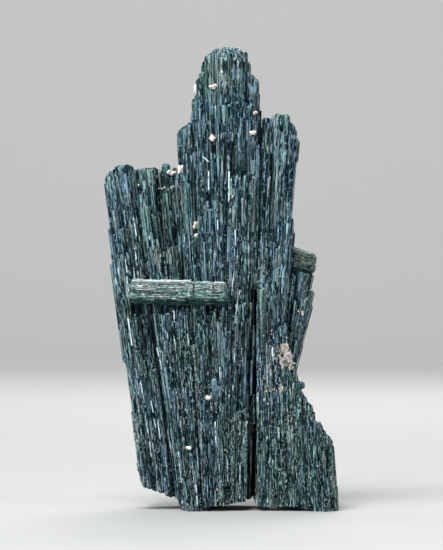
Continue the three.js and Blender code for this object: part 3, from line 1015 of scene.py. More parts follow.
            # Crystals in and round the cleft are painted down to its shade, as painted shade.
            tint = np.where(cleft.holds(lines, depths - self.gloom), np.minimum(tint, cleft.shade), tint)
            broken = self.broken[1] if cleft.through else self.broken[0]
            ragged = rng.uniform(-broken, broken, (2, count))
            rest = []
            for foot, tip, kept in spans:
                cut = inside & kept & (foot < cleft.high) & (tip > cleft.low)
                rest.append((foot, np.where(cut, np.minimum(tip, cleft.low + ragged[0]), tip), kept))
                rest.append((np.maximum(foot, cleft.high + ragged[1]), tip, cut))
            spans = rest
        made = []
        for foot, tip, kept in spans:
            kept = kept & (tip - foot > self.shortest)
            way, foot, tip = lines.pick(kept), foot[kept], tip[kept]
            wide = [np.stack([way.across(z), way.deep(z)], axis=-1) for z in (foot, tip)]
            girth = radius[kept][:, None, None] * np.stack(wide, axis=1)
            made.append(Crystals(way.at(foot), way.at(tip), girth, slope[kept], tint[kept]))
        return Crystals.together(made)

    def short_ones(self, bed: Bed, rng: Random) -> Crystals:
        """Makes the overlapping crystals of the bare sides.

        Each line that shows gets a number of them in proportion to the area that it shows, with
        their tips spread evenly along it. A foot is behind the line's face and a tip before it.

        Args:
            bed: The lines that they lie on.
            rng: The random numbers.

        Returns:
            The crystals.
        """
        lines, top, pitch = bed.lines, bed.top, bed.pitch
        above, facing = self.bared(top.reshape(bed.shape))
        start = np.maximum(above.ravel(), np.nan_to_num(bed.low, nan=FAR))
        shown = np.clip(np.nan_to_num(top, nan=-FAR) - start, 0, None)
        wide = pitch * lines.across(np.nan_to_num(top, nan=0.0))
        number = np.floor(shown * wide / self.tile + rng.random(len(shown))).astype(int)
        number[shown < self.bare_least] = 0
        which = np.repeat(np.arange(len(number)), number)
        count = len(which)
        place = np.arange(count) - np.repeat(np.cumsum(number) - number, number)
        share = (place + rng.random(count)) / number[which]
        most = top[which] - rng.uniform(*self.under_top, count)
        tips = np.minimum(start[which] + shown[which] * share, most)
        length, radius = (np.interp(tips, [0, self.high], ends) for ends in (self.length, self.girth))
        length = np.clip(length * rng.lognormal(0, self.chance[0], count), *self.length_limits)
        radius = np.clip(radius * rng.lognormal(0, self.chance[1], count), *self.girth_limits)
        feet = np.maximum(tips - length, bed.low[which] + rng.uniform(0, 0.6, count))
        towards = facing.reshape(-1, 2)[which]
        beside = np.stack([-towards[:, 1], towards[:, 0]], axis=-1)
        aside = beside * rng.uniform(-0.4, 0.4, (count, 1)) * pitch
        proud = np.array([self.sideways, 1.0]) * towards
        out = rng.uniform(*self.proud, (count, 1))
        back = rng.uniform(0.0, 0.15, (count, 1))
        way = lines.pick(which)
        foot, tip = way.at(feet), way.at(tips)
        foot[:, :2] += aside + proud * back
        tip[:, :2] += aside + proud * out
        girth = radius[:, None, None] * np.array([[0.85, 0.85], [1.0, 1.0]])
        tint = rng.beta(*self.pale_curve, count) * np.interp(tips, [0, self.pale_top], self.paleness)
        # Some thin crystals get painted glints.
        tint += self.glint_tint * ((rng.random(count) < self.glints) & (radius < self.glint_girth))
        slope = rng.normal(0, self.slant[1], (count, 2)) - 0.35 * towards
        kept = tips - feet > self.shortest
        for cleft in self.clefts:
            middle = way.at(np.full(count, cleft.middle))[:, 0] + aside[:, 0]
            across = np.abs(middle - cleft.x) < cleft.width / 2 + 0.5 * radius
            crosses = (feet < cleft.high) & (tips > cleft.low)
            kept &= ~(across & crosses & ((towards[:, 1] < 0.1) | cleft.through))
        return Crystals(foot, tip, girth, slope, tint).pick(kept)

    def standing_out(self, solid: Solid) -> Crystals:
        """Makes the crystals that stand out, each with its foot sunk a little deeper than its tip.

        Those painted with glints on all sides stand clearer of the front than the others.

        Args:
            solid: The solid.

        Returns:
            The crystals.
        """
        tip_x, tip_z, foot_x, foot_z, width, tint, given = np.array([astuple(s) for s in self.standouts]).T
        tips = np.stack([tip_x, 0 * tip_x, tip_z], axis=-1)
        feet = np.stack([foot_x, 0 * foot_x, foot_z], axis=-1)
        seen = solid.front(tips - np.array([0, 0, 0.5]))
        seen = np.where(np.isnan(seen), solid.front(feet), seen)
        front = np.where(np.isnan(given), seen, given)
        clear = np.where(tint > SHINES, self.clear[1], self.clear[0])
        tips[:, 1] = front - np.where(np.isnan(given), clear, 0.0)
        feet[:, 1] = front * (foot_z + DEPTH_FOCUS) / (tip_z + DEPTH_FOCUS) - (clear - self.sunk)
        girth = np.broadcast_to(width[:, None, None] / 2, (len(width), 2, 2))
        return Crystals(feet, tips, girth, np.tile([0.1, 0.5], (len(width), 1)), tint)

    def build(self, material: Material) -> Piece:
        """Builds the spray.

        Args:
            material: Its finish.

        Returns:
            The finished piece.
        """
        rng = np.random.default_rng(self.seed)
        solid = Solid(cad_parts[self.node])
        groups = []
        for sector in self.sectors:
            bed = sector.bed(solid, rng)
            groups += [self.long_ones(bed, rng), self.short_ones(bed, rng)]
        if self.standouts:
            groups.append(self.standing_out(solid))
        crystals = Crystals.together(groups)
        for obstacle in self.obstacles:
            left = obstacle.clip(crystals.foot, crystals.tip)[:, None]
            crystals.tip = crystals.foot + (crystals.tip - crystals.foot) * left
        crystals = crystals.pick(crystals.tip[:, 2] - crystals.foot[:, 2] > self.stump)
        points, faces, fibre = self.shape.mesh(crystals, rng)
        points[:, 2] = np.maximum(points[:, 2], 0.0)
        piece = make_object(f"{self.node}_needles", to_part(points), faces)
        add_attribute(piece, "fibre", fibre)
        add_attribute(piece, "look", self.shape.looks(crystals, self.hues, rng), "FACE")
        LOG.info("%s: %d crystals", piece.name, len(crystals.tint))
        return dress(piece, material, "elbaite", self.node)


@dataclass
class LyingPrism:
    """A stout prism that lies along a line, ribbed lengthwise, with broken or rounded ends."""

    name: str
    nodes: tuple[str, ...]
    slot: str
    start: Point
    end: Point
    half: Pair
    seed: int
    ribs: int = 45
    ribs_in_block: int = 5
    rib_height: float = 0.26
    rib_levels: Pair = (0.6, 0.7)  # how much a rib's own level and its block's count
    groove: Pair = (0.28, 0.12)  # where it starts from a rib's middle and how wide its slope is
    section: Pair = (0.035, 0.015)  # the three-sided and the six-sided share of its outline
    steps: int = 8  # changes of level along each rib
    jag: Pair = (0.5, 0.08)  # how ragged the first and the last end are
    jag_reach: float = 1.5
    round_end: float = 0.3
    blunt: float = 0.45
    cracks: tuple[float, ...] = ()  # where they are, from 0 to 1 along the prism
    crack_width: float = 0.006  # on the same scale, as is the place of each ring beside a crack
    crack_rings: tuple[float, ...] = (-0.012, -0.005, 0.0, 0.005, 0.012)
    crack_depth: float = 0.16
    chipped: float = 0.0  # how deep the chips on the underside are
    chips: int = 18  # how many lie side by side round the prism
    around: int = 270
    along: int = 96

    def ends(self, rng: Random, rho: Array, turn: Array, jag: float) -> Array:
        """How far each place of an end stands out: blocks of chance height about as wide as the ribs.

        Args:
            rng: The random numbers.
            rho: Distance from the axis over the radius.
            turn: Angle round the axis.
            jag: The blocks' height.

        Returns:
            The heights, for every pair of distance and angle.
        """
        rows, columns = 6, 14
        blocks = rng.normal(0, 0.5, (rows, columns))
        row = np.clip((rho * rows).astype(int), 0, rows - 1)
        column = (turn / TURN * columns).astype(int) % columns
        return jag * blocks[row[:, None], column[None, :]] * np.minimum(1, rho * 3)[:, None]

    def stepped(self, rng: Random, u: Array, rows: int) -> Array:
        """Gives each row round the prism a level that changes by chance at a few places along it.

        Args:
            rng: The random numbers.
            u: Places along the prism, from 0 to 1.
            rows: How many rows there are.

        Returns:
            The levels, places by rows.
        """
        cuts = rng.uniform(0, 1, (self.steps, rows))
        number = (u[:, None, None] > cuts[None]).sum(axis=1)
        return rng.normal(0, 0.5, (self.steps + 1, rows))[number, np.arange(rows)[None, :]]

    def sides(self, rng: Random, u: Array, turn: Array) -> tuple[Array, Array]:
        """Works out the ribbed side.

        A point is at radius * (trigonal section) + rib height * level, where the level is that of
        its rib and of the block of ribs it is in, and lower in the groove between two ribs. Chips
        are missing from the underside, and cracks are bell-shaped nicks.

        Args:
            rng: The random numbers.
            u: Places along the prism, from 0 to 1.
            turn: Angles round it.

        Returns:
            Each point's distance from the axis, and its level, its block's and how split it is.
        """
        share = turn / TURN * self.ribs
        rib = share.astype(int)
        groove = np.clip((np.abs(share - rib - 0.5) - self.groove[0]) / self.groove[1], 0, 1)
        block = self.stepped(rng, u, 9)[:, rib // self.ribs_in_block]
        ribbed = self.stepped(rng, u, self.ribs)[:, rib]
        level = self.rib_levels[0] * ribbed + self.rib_levels[1] * block
        section = 1 + self.section[0] * np.cos(3 * turn) + self.section[1] * np.cos(6 * turn + 0.7)
        radius = np.interp(u, [0, 1], self.half)
        reach = radius[:, None] * section[None, :] + self.rib_height * (level - 0.7 * groove)
        other = np.random.default_rng(self.seed + 50)
        chips = np.clip(self.stepped(other, u, self.chips)[:, rib * self.chips // self.ribs], 0, 1)
        reach = reach - self.chipped * chips * np.clip(-1.4 * np.cos(turn), 0, 1)
        jump = np.abs(np.diff(ribbed, axis=0, append=ribbed[-1:])) > 0.5
        split = np.maximum(groove, 0.9 * jump)
        for crack in self.cracks:
            bell = np.exp(-(((u - crack) / self.crack_width) ** 2))
            deep = bell[:, None] * (rng.random(self.ribs)[rib] < 0.7)
            reach -= self.crack_depth * deep
            split = np.maximum(split, 1.2 * deep)
        return reach, np.stack([0.8 * ribbed + 0.25 * block, block, split], axis=-1)

    def build(self, material: Material) -> Piece:
        """Builds the prism: its side, and for each end rings that close on the axis.

        Args:
            material: Its finish.

        Returns:
            The finished piece.
        """
        rng = np.random.default_rng(self.seed)
        start, end = np.array(self.start), np.array(self.end)
        length = np.linalg.norm(end - start)
        axis = (end - start) / length
        side = np.cross(axis, [0, 0, 1.0])
        side /= np.linalg.norm(side)
        up = np.cross(side, axis)
        turn = np.arange(self.around) / self.around * TURN
        nicks = [crack + step for crack in self.cracks for step in self.crack_rings]
        u = np.sort(np.concatenate([np.linspace(0, 1, self.along), nicks]))
        reach, look = self.sides(rng, u, turn)
        rho = np.linspace(1, 0, 9)[1:-1]
        first, last = (self.ends(rng, np.concatenate([[1.0], rho]), turn, jag) for jag in self.jag)
        along, back = u[:, None] * length, (1 - u[:, None]) * length
        place = along - first[0] * np.clip(1 - along / self.jag_reach, 0, 1)
        place = place + last[0] * np.clip(1 - back / self.jag_reach, 0, 1)
        reach = reach * np.sqrt(1 - self.blunt * np.clip(1 - back / self.round_end, 0, 1) ** 2)
        places = np.concatenate([-first[:0:-1], place, length + last[1:]])
        reaches = np.concatenate([reach[0] * rho[::-1, None], reach, reach[-1] * rho[:, None]])
        high, wide = reaches * np.cos(turn), reaches * np.sin(turn)
        out = np.cos(turn)[None, :, None] * up + np.sin(turn)[None, :, None] * side
        body = start + places[..., None] * axis + reaches[..., None] * out
        points = np.concatenate([body.reshape(-1, 3), [start, end]])
        fibre = np.stack([high, wide, places], axis=-1).reshape(-1, 3)
        cap = np.zeros((len(rho), self.around, 3))
        look = np.concatenate([cap, look, cap]).reshape(-1, 3)
        piece = make_object(self.name, to_part(points), tube_faces(self.around, len(places), turned=True))
        add_attribute(piece, "fibre", np.concatenate([fibre, [[0, 0, 0], [0, 0, length]]]))
        add_attribute(piece, "look", np.concatenate([look, np.zeros((2, 3))]))
        return dress(piece, material, self.slot, *self.nodes)


@dataclass
class Lumps:
    """Small grains with flat faces, each the room inside a few chance planes."""

    rows: int = 9
    columns: int = 14
    planes: int = 13
    distance: Pair = (0.62, 1.0)
    farthest: float = 1.5
    facing_least: float = 0.05

    def mesh(self, centres: Array, halves: Array, rng: Random) -> tuple[Array, list]:
        """Works out every grain on a grid of directions.

        The way to the surface in a direction is the least of h / (n . direction) over the planes
        that face it, where n is a plane's normal and h its distance.

        Args:
            centres: Where the grains are.
            halves: Their half sizes in X, Y and Z.
            rng: The random numbers.

        Returns:
            Points and faces.
        """
        count = len(centres)
        tilt = np.linspace(0, math.pi, self.rows + 2)[1:-1, None]
        turn = np.arange(self.columns) / self.columns * TURN
        level = np.cos(tilt) + 0 * turn
        ring = np.stack([np.sin(tilt) * np.cos(turn), np.sin(tilt) * np.sin(turn), level], axis=-1)
        ways = np.concatenate([ring.reshape(-1, 3), [[0, 0, 1], [0, 0, -1]]])
        normals = rng.normal(size=(count, self.planes, 3))
        normals = np.concatenate([normals, -normals[:, :3]], axis=1)
        normals /= np.linalg.norm(normals, axis=2, keepdims=True)
        distance = rng.uniform(*self.distance, (*normals.shape[:2], 1))
        facing = np.einsum("npc,wc->npw", normals, ways)
        reach = distance / np.maximum(facing, self.facing_least)
        reach = np.min(np.where(facing > self.facing_least, reach, self.farthest), axis=1)
        points = centres[:, None, :] + reach[:, :, None] * ways * halves[:, None, :]
        return points.reshape(-1, 3), tube_faces(self.columns, self.rows, count, turned=True)


@dataclass(frozen=True)
class Grain:
    """One grain of beryllonite: where it sits and its half width and half height."""

    at: Point
    size: Pair


GRAINS = (
    Grain((-5.5, -0.3, 83.5), (0.6, 1.25)),
    Grain((-2.1, -3.3, 83.9), (0.8, 0.5)),
    Grain((6.3, -3.6, 78.8), (0.55, 0.4)),
    Grain((5.9, -4.8, 74.7), (0.8, 0.6)),
    Grain((-2.4, -5.1, 73.6), (0.55, 0.65)),
    Grain((-10.3, -0.3, 66.9), (0.75, 0.5)),
    Grain((-8.6, -5.2, 67.6), (0.5, 0.95)),
    Grain((-5.7, -5.5, 56.3), (0.5, 0.75)),
    Grain((-5.3, -5.5, 54.4), (0.5, 0.5)),
    Grain((-3.1, -11.0, 22.3), (0.55, 0.55)),
    Grain((-6.9, -11.1, 12.5), (0.55, 0.45)),
)


@dataclass
class BerylloniteGrains:
    """The cream grains that sit on the sprays, each a huddle of small lumps."""

    grains: tuple[Grain, ...] = GRAINS
    lumps: int = 5
    spread: float = 0.42
    largest: float = 0.85
    smaller: Pair = (0.45, 0.75)
    seed: int = 5

    def build(self, material: Material) -> None:
        """Builds one piece for each grain.

        Args:
            material: Their finish.
        """
        rng = np.random.default_rng(self.seed)
        for number, grain in enumerate(self.grains, 1):
            half = np.array([grain.size[0], grain.size[0], grain.size[1]])
            spots = np.array(grain.at) + rng.normal(0, self.spread, (self.lumps, 3)) * half
            halves = half * rng.uniform(*self.smaller, (self.lumps, 1))
            halves[0] = half * self.largest
            spots[0] = grain.at
            points, faces = Lumps().mesh(spots, halves, rng)
            piece = make_object(f"beryllonite_grain_{number}_lumps", to_part(points), faces)
            dress(piece, material, "beryllonite", f"beryllonite_grain_{number}")


@dataclass
class BerylloniteCrust:
    """The granular crust at the waist, half sunk in the needles, with gaps that they show through.

    Its outline is a line down the middle, X and Z, with a half width at each of its points. A gap
    is X, Z and its half width.
    """

    node: str = "beryllonite_crust"
    middle: tuple[Pair, ...] = ((11.9, 32.8), (12.3, 30.4), (12.6, 28.0))
    half_width: tuple[float, ...] = (0.55, 1.2, 0.95)
    gaps: tuple[Point, ...] = (
        (11.6, 30.6, 0.36),
        (11.95, 29.4, 0.44),
        (12.3, 27.9, 0.6),
        (10.7, 29.0, 0.5),
        (12.9, 31.6, 0.3),
    )
    gap_squash: float = 0.7  # makes a gap taller than it is wide
    size: Pair = (0.08, 0.2)
    uneven: Pair = (0.8, 1.3)
    stretch: Point = (0.85, 1.0, 1.9)
    count: int = 470
    loose: float = 0.13  # how far lumps stray past the outline
    proud: float = 0.3
    beside_solid: float = -9.7  # depth of the front where there is nothing under a lump
    seed: int = 8

    def build(self, material: Material, under: Solid) -> Piece:
        """Scatters small lumps over the outline, highest in its middle.

        Args:
            material: Its finish.
            under: What it lies on.

        Returns:
            The finished piece.
        """
        rng = np.random.default_rng(self.seed)
        x, z = np.array(self.middle).T
        height = rng.uniform(z[-1], z[0], self.count)
        wide = np.interp(height, z[::-1], self.half_width[::-1])
        off = rng.uniform(-1, 1, self.count) * (1 + rng.exponential(self.loose, self.count))
        across = np.interp(height, z[::-1], x[::-1]) + wide * off
        away = [np.hypot(across - a, (height - b) * self.gap_squash) - r for a, b, r in self.gaps]
        kept = np.min(away, axis=0) > 0
        spots = np.stack([across, np.zeros(self.count), height], axis=-1)[kept]
        front = np.nan_to_num(under.front(spots), nan=self.beside_solid)
        hump = self.proud * np.clip(1 - off[kept] ** 2, 0, 1)
        spots[:, 1] = np.minimum(front, np.median(front)) - self.proud - hump
        spots[:, 1] += rng.uniform(-0.2, 0.3, len(spots))
        halves = rng.uniform(*self.size, (len(spots), 1)) * rng.uniform(*self.uneven, (len(spots), 3))
        points, faces = Lumps(5, 8).mesh(spots, halves * self.stretch, rng)
        piece = make_object(f"{self.node}_lumps", to_part(points), faces)
        return dress(piece, material, "beryllonite", self.node)


@dataclass
class Specks:
    """Small crumbs of beryllonite that lie on the crystals, more of them lower down.

    The marks are those in known places: X, Z and the half size. A crumb lies as far out as the
    proudest of the crystals at its place and a little to each side of it.
    """

    name: str
    marks: tuple[Point, ...] = ()
    count: int = 0
    size: Pair = (0.06, 0.17)
    width: Pair = (-20.0, 22.0)
    height: Pair = (1.0, 70.0)
    stretch: Point = (1.0, 1.0, 1.0)
    uneven: Pair = (0.7, 1.4)
    behind: float = 0.4  # share of them on the back
    beside: Point = (-0.15, 0.0, 0.15)
    seed: int = 11

    def build(self, material: Material, under: Solid) -> Piece:
        """Drops crumbs on the front and the back, at heights that thin out in a square law.

        Args:
            material: Their finish.
            under: What they lie on.

        Returns:
            The finished piece.
        """
        rng = np.random.default_rng(self.seed)
        share = rng.random(self.count) ** 2
        height = self.height[0] + (self.height[1] - self.height[0]) * share
        spots = np.stack([rng.uniform(*self.width, self.count), 0 * share, height], axis=-1)
        halves = rng.uniform(*self.size, self.count)
        marks = np.array(self.marks).reshape(-1, 3)
        spots = np.concatenate([marks[:, [0, 0, 1]] * np.array([1, 0, 1]), spots])
        halves = np.concatenate([marks[:, 2], halves])
        back = rng.random(len(spots)) < self.behind
        back[: len(marks)] = False
        side = np.where(back, 1.0, -1.0)
        far = under.away * side[:, None]
        near = [np.array([x, 0, 0]) for x in self.beside]
        hits = [side * under.first(spots + far + off, spots - far + off)[:, 1] for off in near]
        spots[:, 1] = side * np.fmax.reduce(hits)
        found = ~np.isnan(spots[:, 1])
        halves = halves[found, None] * rng.uniform(*self.uneven, (found.sum(), 3)) * self.stretch
        points, faces = Lumps(3, 6).mesh(spots[found], halves, rng)
        return dress(make_object(self.name, to_part(points), faces), material, "beryllonite")


SPECK_MARKS = (
    (-0.3, 86.9, 0.27), (-17.0, 64.4, 0.26), (-17.5, 58.6, 0.26), (14.9, 39.3, 0.14),
    (-12.9, 63.8, 0.17), (-12.3, 63.7, 0.2), (-11.7, 63.9, 0.15), (-11.0, 63.6, 0.18),
    (-10.4, 63.9, 0.2), (-9.9, 64.1, 0.15),
)
CRUMB_MARKS = (
    (11.6, 24.3, 0.24), (11.0, 23.9, 0.18), (11.3, 24.8, 0.2), (9.2, 27.3, 0.24), (9.3, 26.8, 0.18),
    (7.1, 28.0, 0.16), (8.0, 21.9, 0.18), (10.0, 30.9, 0.16), (10.2, 30.1, 0.18), (1.8, 62.0, 0.22),
    (15.7, 38.9, 0.2), (8.8, 21.2, 0.2), (0.3, 12.1, 0.22), (0.75, 11.8, 0.16), (-12.0, 12.6, 0.18),
    (-20.9, 42.4, 0.2), (-20.7, 39.8, 0.14), (-20.2, 38.8, 0.18), (-19.7, 37.7, 0.16),
    (-18.9, 38.9, 0.14),
)


@dataclass(frozen=True)
class SoftBox:
    """A soft light: its place, its width and height and what it faces, in metres, and its power."""

    name: str
    at: Point
    size: Pair
    watts: float
    colour: str = "#ffffff"
    to: Point = (0.0, 0.0, 0.05)

    def build(self) -> None:
        """Hangs the light and turns it to what it faces."""
        data = bpy.data.lights.new(self.name, "AREA")
        data.shape = "RECTANGLE"
        data.size, data.size_y = self.size
        data.energy = self.watts
        data.color = linear(self.colour)[:3]
        lamp = bpy.data.objects.new(self.name, data)
        lamp.location = self.at
        lamp.rotation_euler = (Vector(self.to) - Vector(self.at)).to_track_quat("-Z", "Y").to_euler()
        bpy.context.scene.collection.objects.link(lamp)


@dataclass(frozen=True)
class Studio:
    """The pale floor that curves up behind the cluster, the soft lights and the camera, in metres."""

    bend: float = 0.5
    bend_start: float = 0.9
    floor_front: float = -2.5
    half_width: float = 3.0
    wall_height: float = 3.0
    paper: str = "#a6a6a4"
    lights: tuple[SoftBox, ...] = (
        SoftBox("key", (-0.1, -0.22, 0.42), (0.22, 0.22), 3.0),
        SoftBox("left_strip", (-0.5, -0.42, 0.2), (0.04, 0.6), 2.4, "#e2f1ff"),
        SoftBox("right_strip", (0.55, -0.34, 0.2), (0.04, 0.6), 1.9, "#e2f1ff"),
        SoftBox("front_strip", (-0.2, -0.66, 0.25), (0.03, 0.5), 0.8, "#e2f1ff"),
        SoftBox("back", (0.1, 0.55, 0.5), (0.4, 0.3), 3.0),
        SoftBox("backdrop", (0.0, 0.5, 1.1), (1.6, 0.5), 20.0, to=(0.0, 1.4, 0.4)),
    )
    room: str = "#eef1f4"
    room_strength: float = 0.2
    lens: float = 200.0
    sensor: float = 36.0
    look: Point = (0.0, 0.0014, 0.0465)

    def floor(self) -> None:
        """Sweeps a profile along X: flat to the back, a quarter circle, then straight up."""
        turn = np.linspace(0, math.pi / 2, 25)
        curve = [self.bend_start + self.bend * np.sin(turn), self.bend * (1 - np.cos(turn))]
        wall = [self.bend_start + self.bend, self.wall_height]
        profile = np.concatenate([[[self.floor_front, 0]], np.stack(curve, axis=-1), [wall]])
        sides = np.array([-self.half_width, self.half_width])
        points = np.stack([np.repeat(sides, len(profile)), *np.tile(profile, (2, 1)).T], axis=-1)
        k, n = np.arange(len(profile) - 1), len(profile)
        faces = np.stack([k, k + n, k + n + 1, k + 1], axis=-1).tolist()
        piece = make_object("floor", points, faces, smooth=True)
        paper = Layers("pale_paper", {"Base Color": linear(self.paper), "Roughness": 0.9})
        piece.data.materials.append(paper.material)

    def camera(self) -> None:
        """Puts a level camera where the photograph's frame is FRAME_HEIGHT_MM high at the tower.

        The picture is taller than it is wide, so the sensor's width spans its height.
        """
        data = bpy.data.cameras.new("camera")
        data.lens = self.lens
        data.sensor_width = self.sensor
        reach = FRAME_HEIGHT_MM * MM / 2 / (self.sensor / 2 / self.lens)
        camera = bpy.data.objects.new("camera", data)
        camera.location = Vector(self.look) - Vector((0, reach, 0))
        camera.rotation_euler = Vector((0, 1, 0)).to_track_quat("-Z", "Y").to_euler()
        bpy.context.scene.collection.objects.link(camera)
        bpy.context.scene.camera = camera

    def world(self) -> None:
        """Fills in with plain soft light from all round."""
        world = bpy.data.worlds.new("soft_room")
        world.use_nodes = True
        background = world.node_tree.nodes["Background"]
        background.inputs["Color"].default_value = linear(self.room)
        background.inputs["Strength"].default_value = self.room_strength
        bpy.context.scene.world = world

    def build(self) -> None:
        """Builds the studio."""
        self.floor()
        for light in self.lights:
            light.build()
        self.camera()
        self.world()
        bpy.context.scene.view_settings.view_transform = "Standard"


@dataclass(frozen=True)
class Cluster:
    """The whole cluster: the sprays, the prisms that stand out of them and the beryllonite on them."""

    cross: Obstacle = Obstacle((-8.9, -8.95, 42.9), (9.6, 2.55, 2.5), -0.1117)

    def left(self, clear: list[Obstacle]) -> Spray:
        """Describes the left spray, with the dark seam beside the centre spray and a stout crystal.

        Args:
            clear: The grains that its crystals end under.

        Returns:
            The spray.
        """
        return Spray(
            "left_spray",
            [Sector((64, -600), 35, (-22.6, -9.6), (-8.5, 9.5))],
            1,
            {Side.FRONT: 0, Side.BACK: 0, Side.LEFT: 0},
            [self.cross, *clear],
            [
                Cleft(-17.0, 0.9, 62.5, 72, 2.0),
                Cleft(-12.85, 0.9, -5, 61, 2.2),
                Cleft(-16.0, 4.9, 37.9, 41.5, 3.2, 0.0),
                Cleft(-23.2, 1.1, 48.5, 60.0, 30),
                Cleft(-11.3, 2.4, 66.2, 72.0, 30),
                Cleft(-20.3, 0.62, 7.0, 38.0, 30),
                Cleft(-19.85, 0.62, 7.0, 36.0, 30),
                Cleft(-19.05, 0.62, 7.0, 33.0, 30),
                Cleft(-18.3, 0.62, 9.0, 29.0, 30),
            ],
            [
                Standout(-17.0, 67.6, -16.5, 58.0, 1.2, 0.3, 0.0),
                Standout(-18.9, 37.9, -18.1, 32.5, 0.34, 3.0),
                Standout(-17.9, 57.8, -17.3, 54.3, 0.22, 3.0),
                Standout(-17.6, 51.9, -16.9, 46.4, 0.22, 3.0),
                Standout(-16.0, 58.4, -15.6, 55.4, 0.24, 3.0),
                Standout(-19.4, 49.6, -19.1, 47.0, 0.22, 3.0),
                Standout(-14.3, 62.4, -14.0, 59.0, 0.24, 1.9),
                Standout(-16.4, 25.4, -16.1, 23.2, 0.22, 3.0),
                Standout(-14.3, 21.6, -13.9, 19.3, 0.22, 3.0),
                Standout(-13.8, 18.2, -13.4, 16.2, 0.2, 3.0),
                # Three wide crystals painted near black, as painted shade where the seam widens at its foot.
                Standout(-12.9, 11.5, -11.9, 3.6, 0.8, -0.1),
                Standout(-12.1, 9.0, -11.2, 2.9, 0.8, -0.3),
                Standout(-11.3, 10.5, -10.4, 2.5, 0.7, -0.2),
            ],
            lift=-0.35,
            tile=0.75,
            paleness=(0.34, 0.8),
            glints=0.33,
            hues=(0.0, 0.8),
            shape=NeedleShape(uneven=0.45),
        )

    def centre(self, clear: list[Obstacle]) -> Spray:
        """Describes the tall centre spray, with its dark clefts and the crystals that stand out.

        Args:
            clear: The grains that its crystals end under.

        Returns:
            The spray.
        """
        return Spray(
            "centre_spray",
            [
                Sector((1, -74.6), 45, (-16.5, 1.0), (-13.5, 12.5)),
                Sector((1, -250), 45, (1.1, 9.9), (-13.5, 12.5)),
            ],
            2,
            {Side.FRONT: 0, Side.BACK: 0, Side.LEFT: 62, Side.RIGHT: 70},
            [self.cross, *clear],
            [
                Cleft(5.7, 1.9, -1, 44.2, 1.1, 0.5),
                Cleft(-6.6, 14.0, 39.7, 41.5, 1.0),
                Cleft(-5.0, 0.55, -1, 29.0, 1.6),
                Cleft(-9.7, 1.9, 67.8, 73.5, 30),
                Cleft(-11.6, 2.6, 66.5, 73.5, 30),
                Cleft(-7.0, 1.2, 76.6, 82.0, 30),
                Cleft(-11.2, 4.2, 51.5, 63.5, 3.4, 0.0),
                Cleft(-7.9, 1.0, 55, 65.5, 1.6),
                Cleft(1.4, 0.5, 84, 90.5, 1.2),
                Cleft(1.85, 1.2, 66.0, 73.0, 3.0),
                Cleft(0.5, 0.9, 36.7, 39.9, 1.5),
                Cleft(3.5, 1.3, 22.6, 26.8, 1.0, 0.0),
                Cleft(-2.7, 1.0, 59.6, 63.0, 1.6),
            ],
            [
                Standout(3.3, 43.5, 1.8, 35.3, 0.26, 3.0),
                Standout(-2.9, 67.0, -2.9, 63.3, 0.24, 3.0),
                Standout(-8.6, 64.1, -7.1, 56.5, 0.3, 0.9),
                Standout(-4.1, 69.9, -2.9, 68.9, 0.25, 3.0),
                Standout(-7.8, 54.5, -6.5, 46.7, 0.24, 3.0),
                Standout(2.3, 55.5, 2.4, 52.3, 0.24, 3.0),
                Standout(-13.1, 32.2, -12.0, 27.4, 0.2, 3.0),
                Standout(-12.15, 28.2, -10.9, 22.8, 0.2, 1.9),
                Standout(-11.0, 15.6, -9.9, 9.0, 0.2, 1.8),
                Standout(-9.9, 9.4, -8.9, 3.3, 0.22, 1.1),
                Standout(2.1, 47.2, 1.6, 42.4, 0.2, 3.0),
                Standout(-9.75, 39.5, -9.6, 37.2, 0.22, 3.0),
                Standout(-0.7, 28.4, -0.6, 26.3, 0.2, 3.0),
                Standout(-2.6, 26.8, -2.55, 24.6, 0.2, 3.0),
                Standout(-1.15, 57.5, -1.1, 55.4, 0.22, 3.0),
                Standout(1.5, 84.0, 1.6, 80.6, 0.3, 1.8),
                Standout(-1.65, 80.6, -1.6, 77.8, 0.3, 1.8),
                Standout(-2.4, 59.5, -2.3, 54.0, 1.2, 0.28),
                Standout(2.0, 59.6, 1.9, 52.0, 1.4, 0.3),
                Standout(6.1, 66.0, 5.6, 55.0, 1.1, 0.35),
                Standout(5.4, 41.0, 5.3, 34.0, 0.34, 0.9, -6.6),
                Standout(6.0, 36.5, 5.9, 29.0, 0.34, 0.8, -6.4),
                Standout(5.6, 29.5, 5.5, 22.8, 0.4, 1.0, -6.6),
                Standout(6.1, 22.8, 6.0, 17.0, 0.45, 0.85, -6.4),
                Standout(5.5, 14.5, 5.4, 7.0, 0.34, 0.9, -6.4),
                Standout(-4.6, 25.6, -4.3, 18.6, 0.9, 0.45),
                Standout(-1.8, 26.0, -1.6, 19.5, 1.2, 0.35),
            ],
            paleness=(-0.1, 0.86),
        )

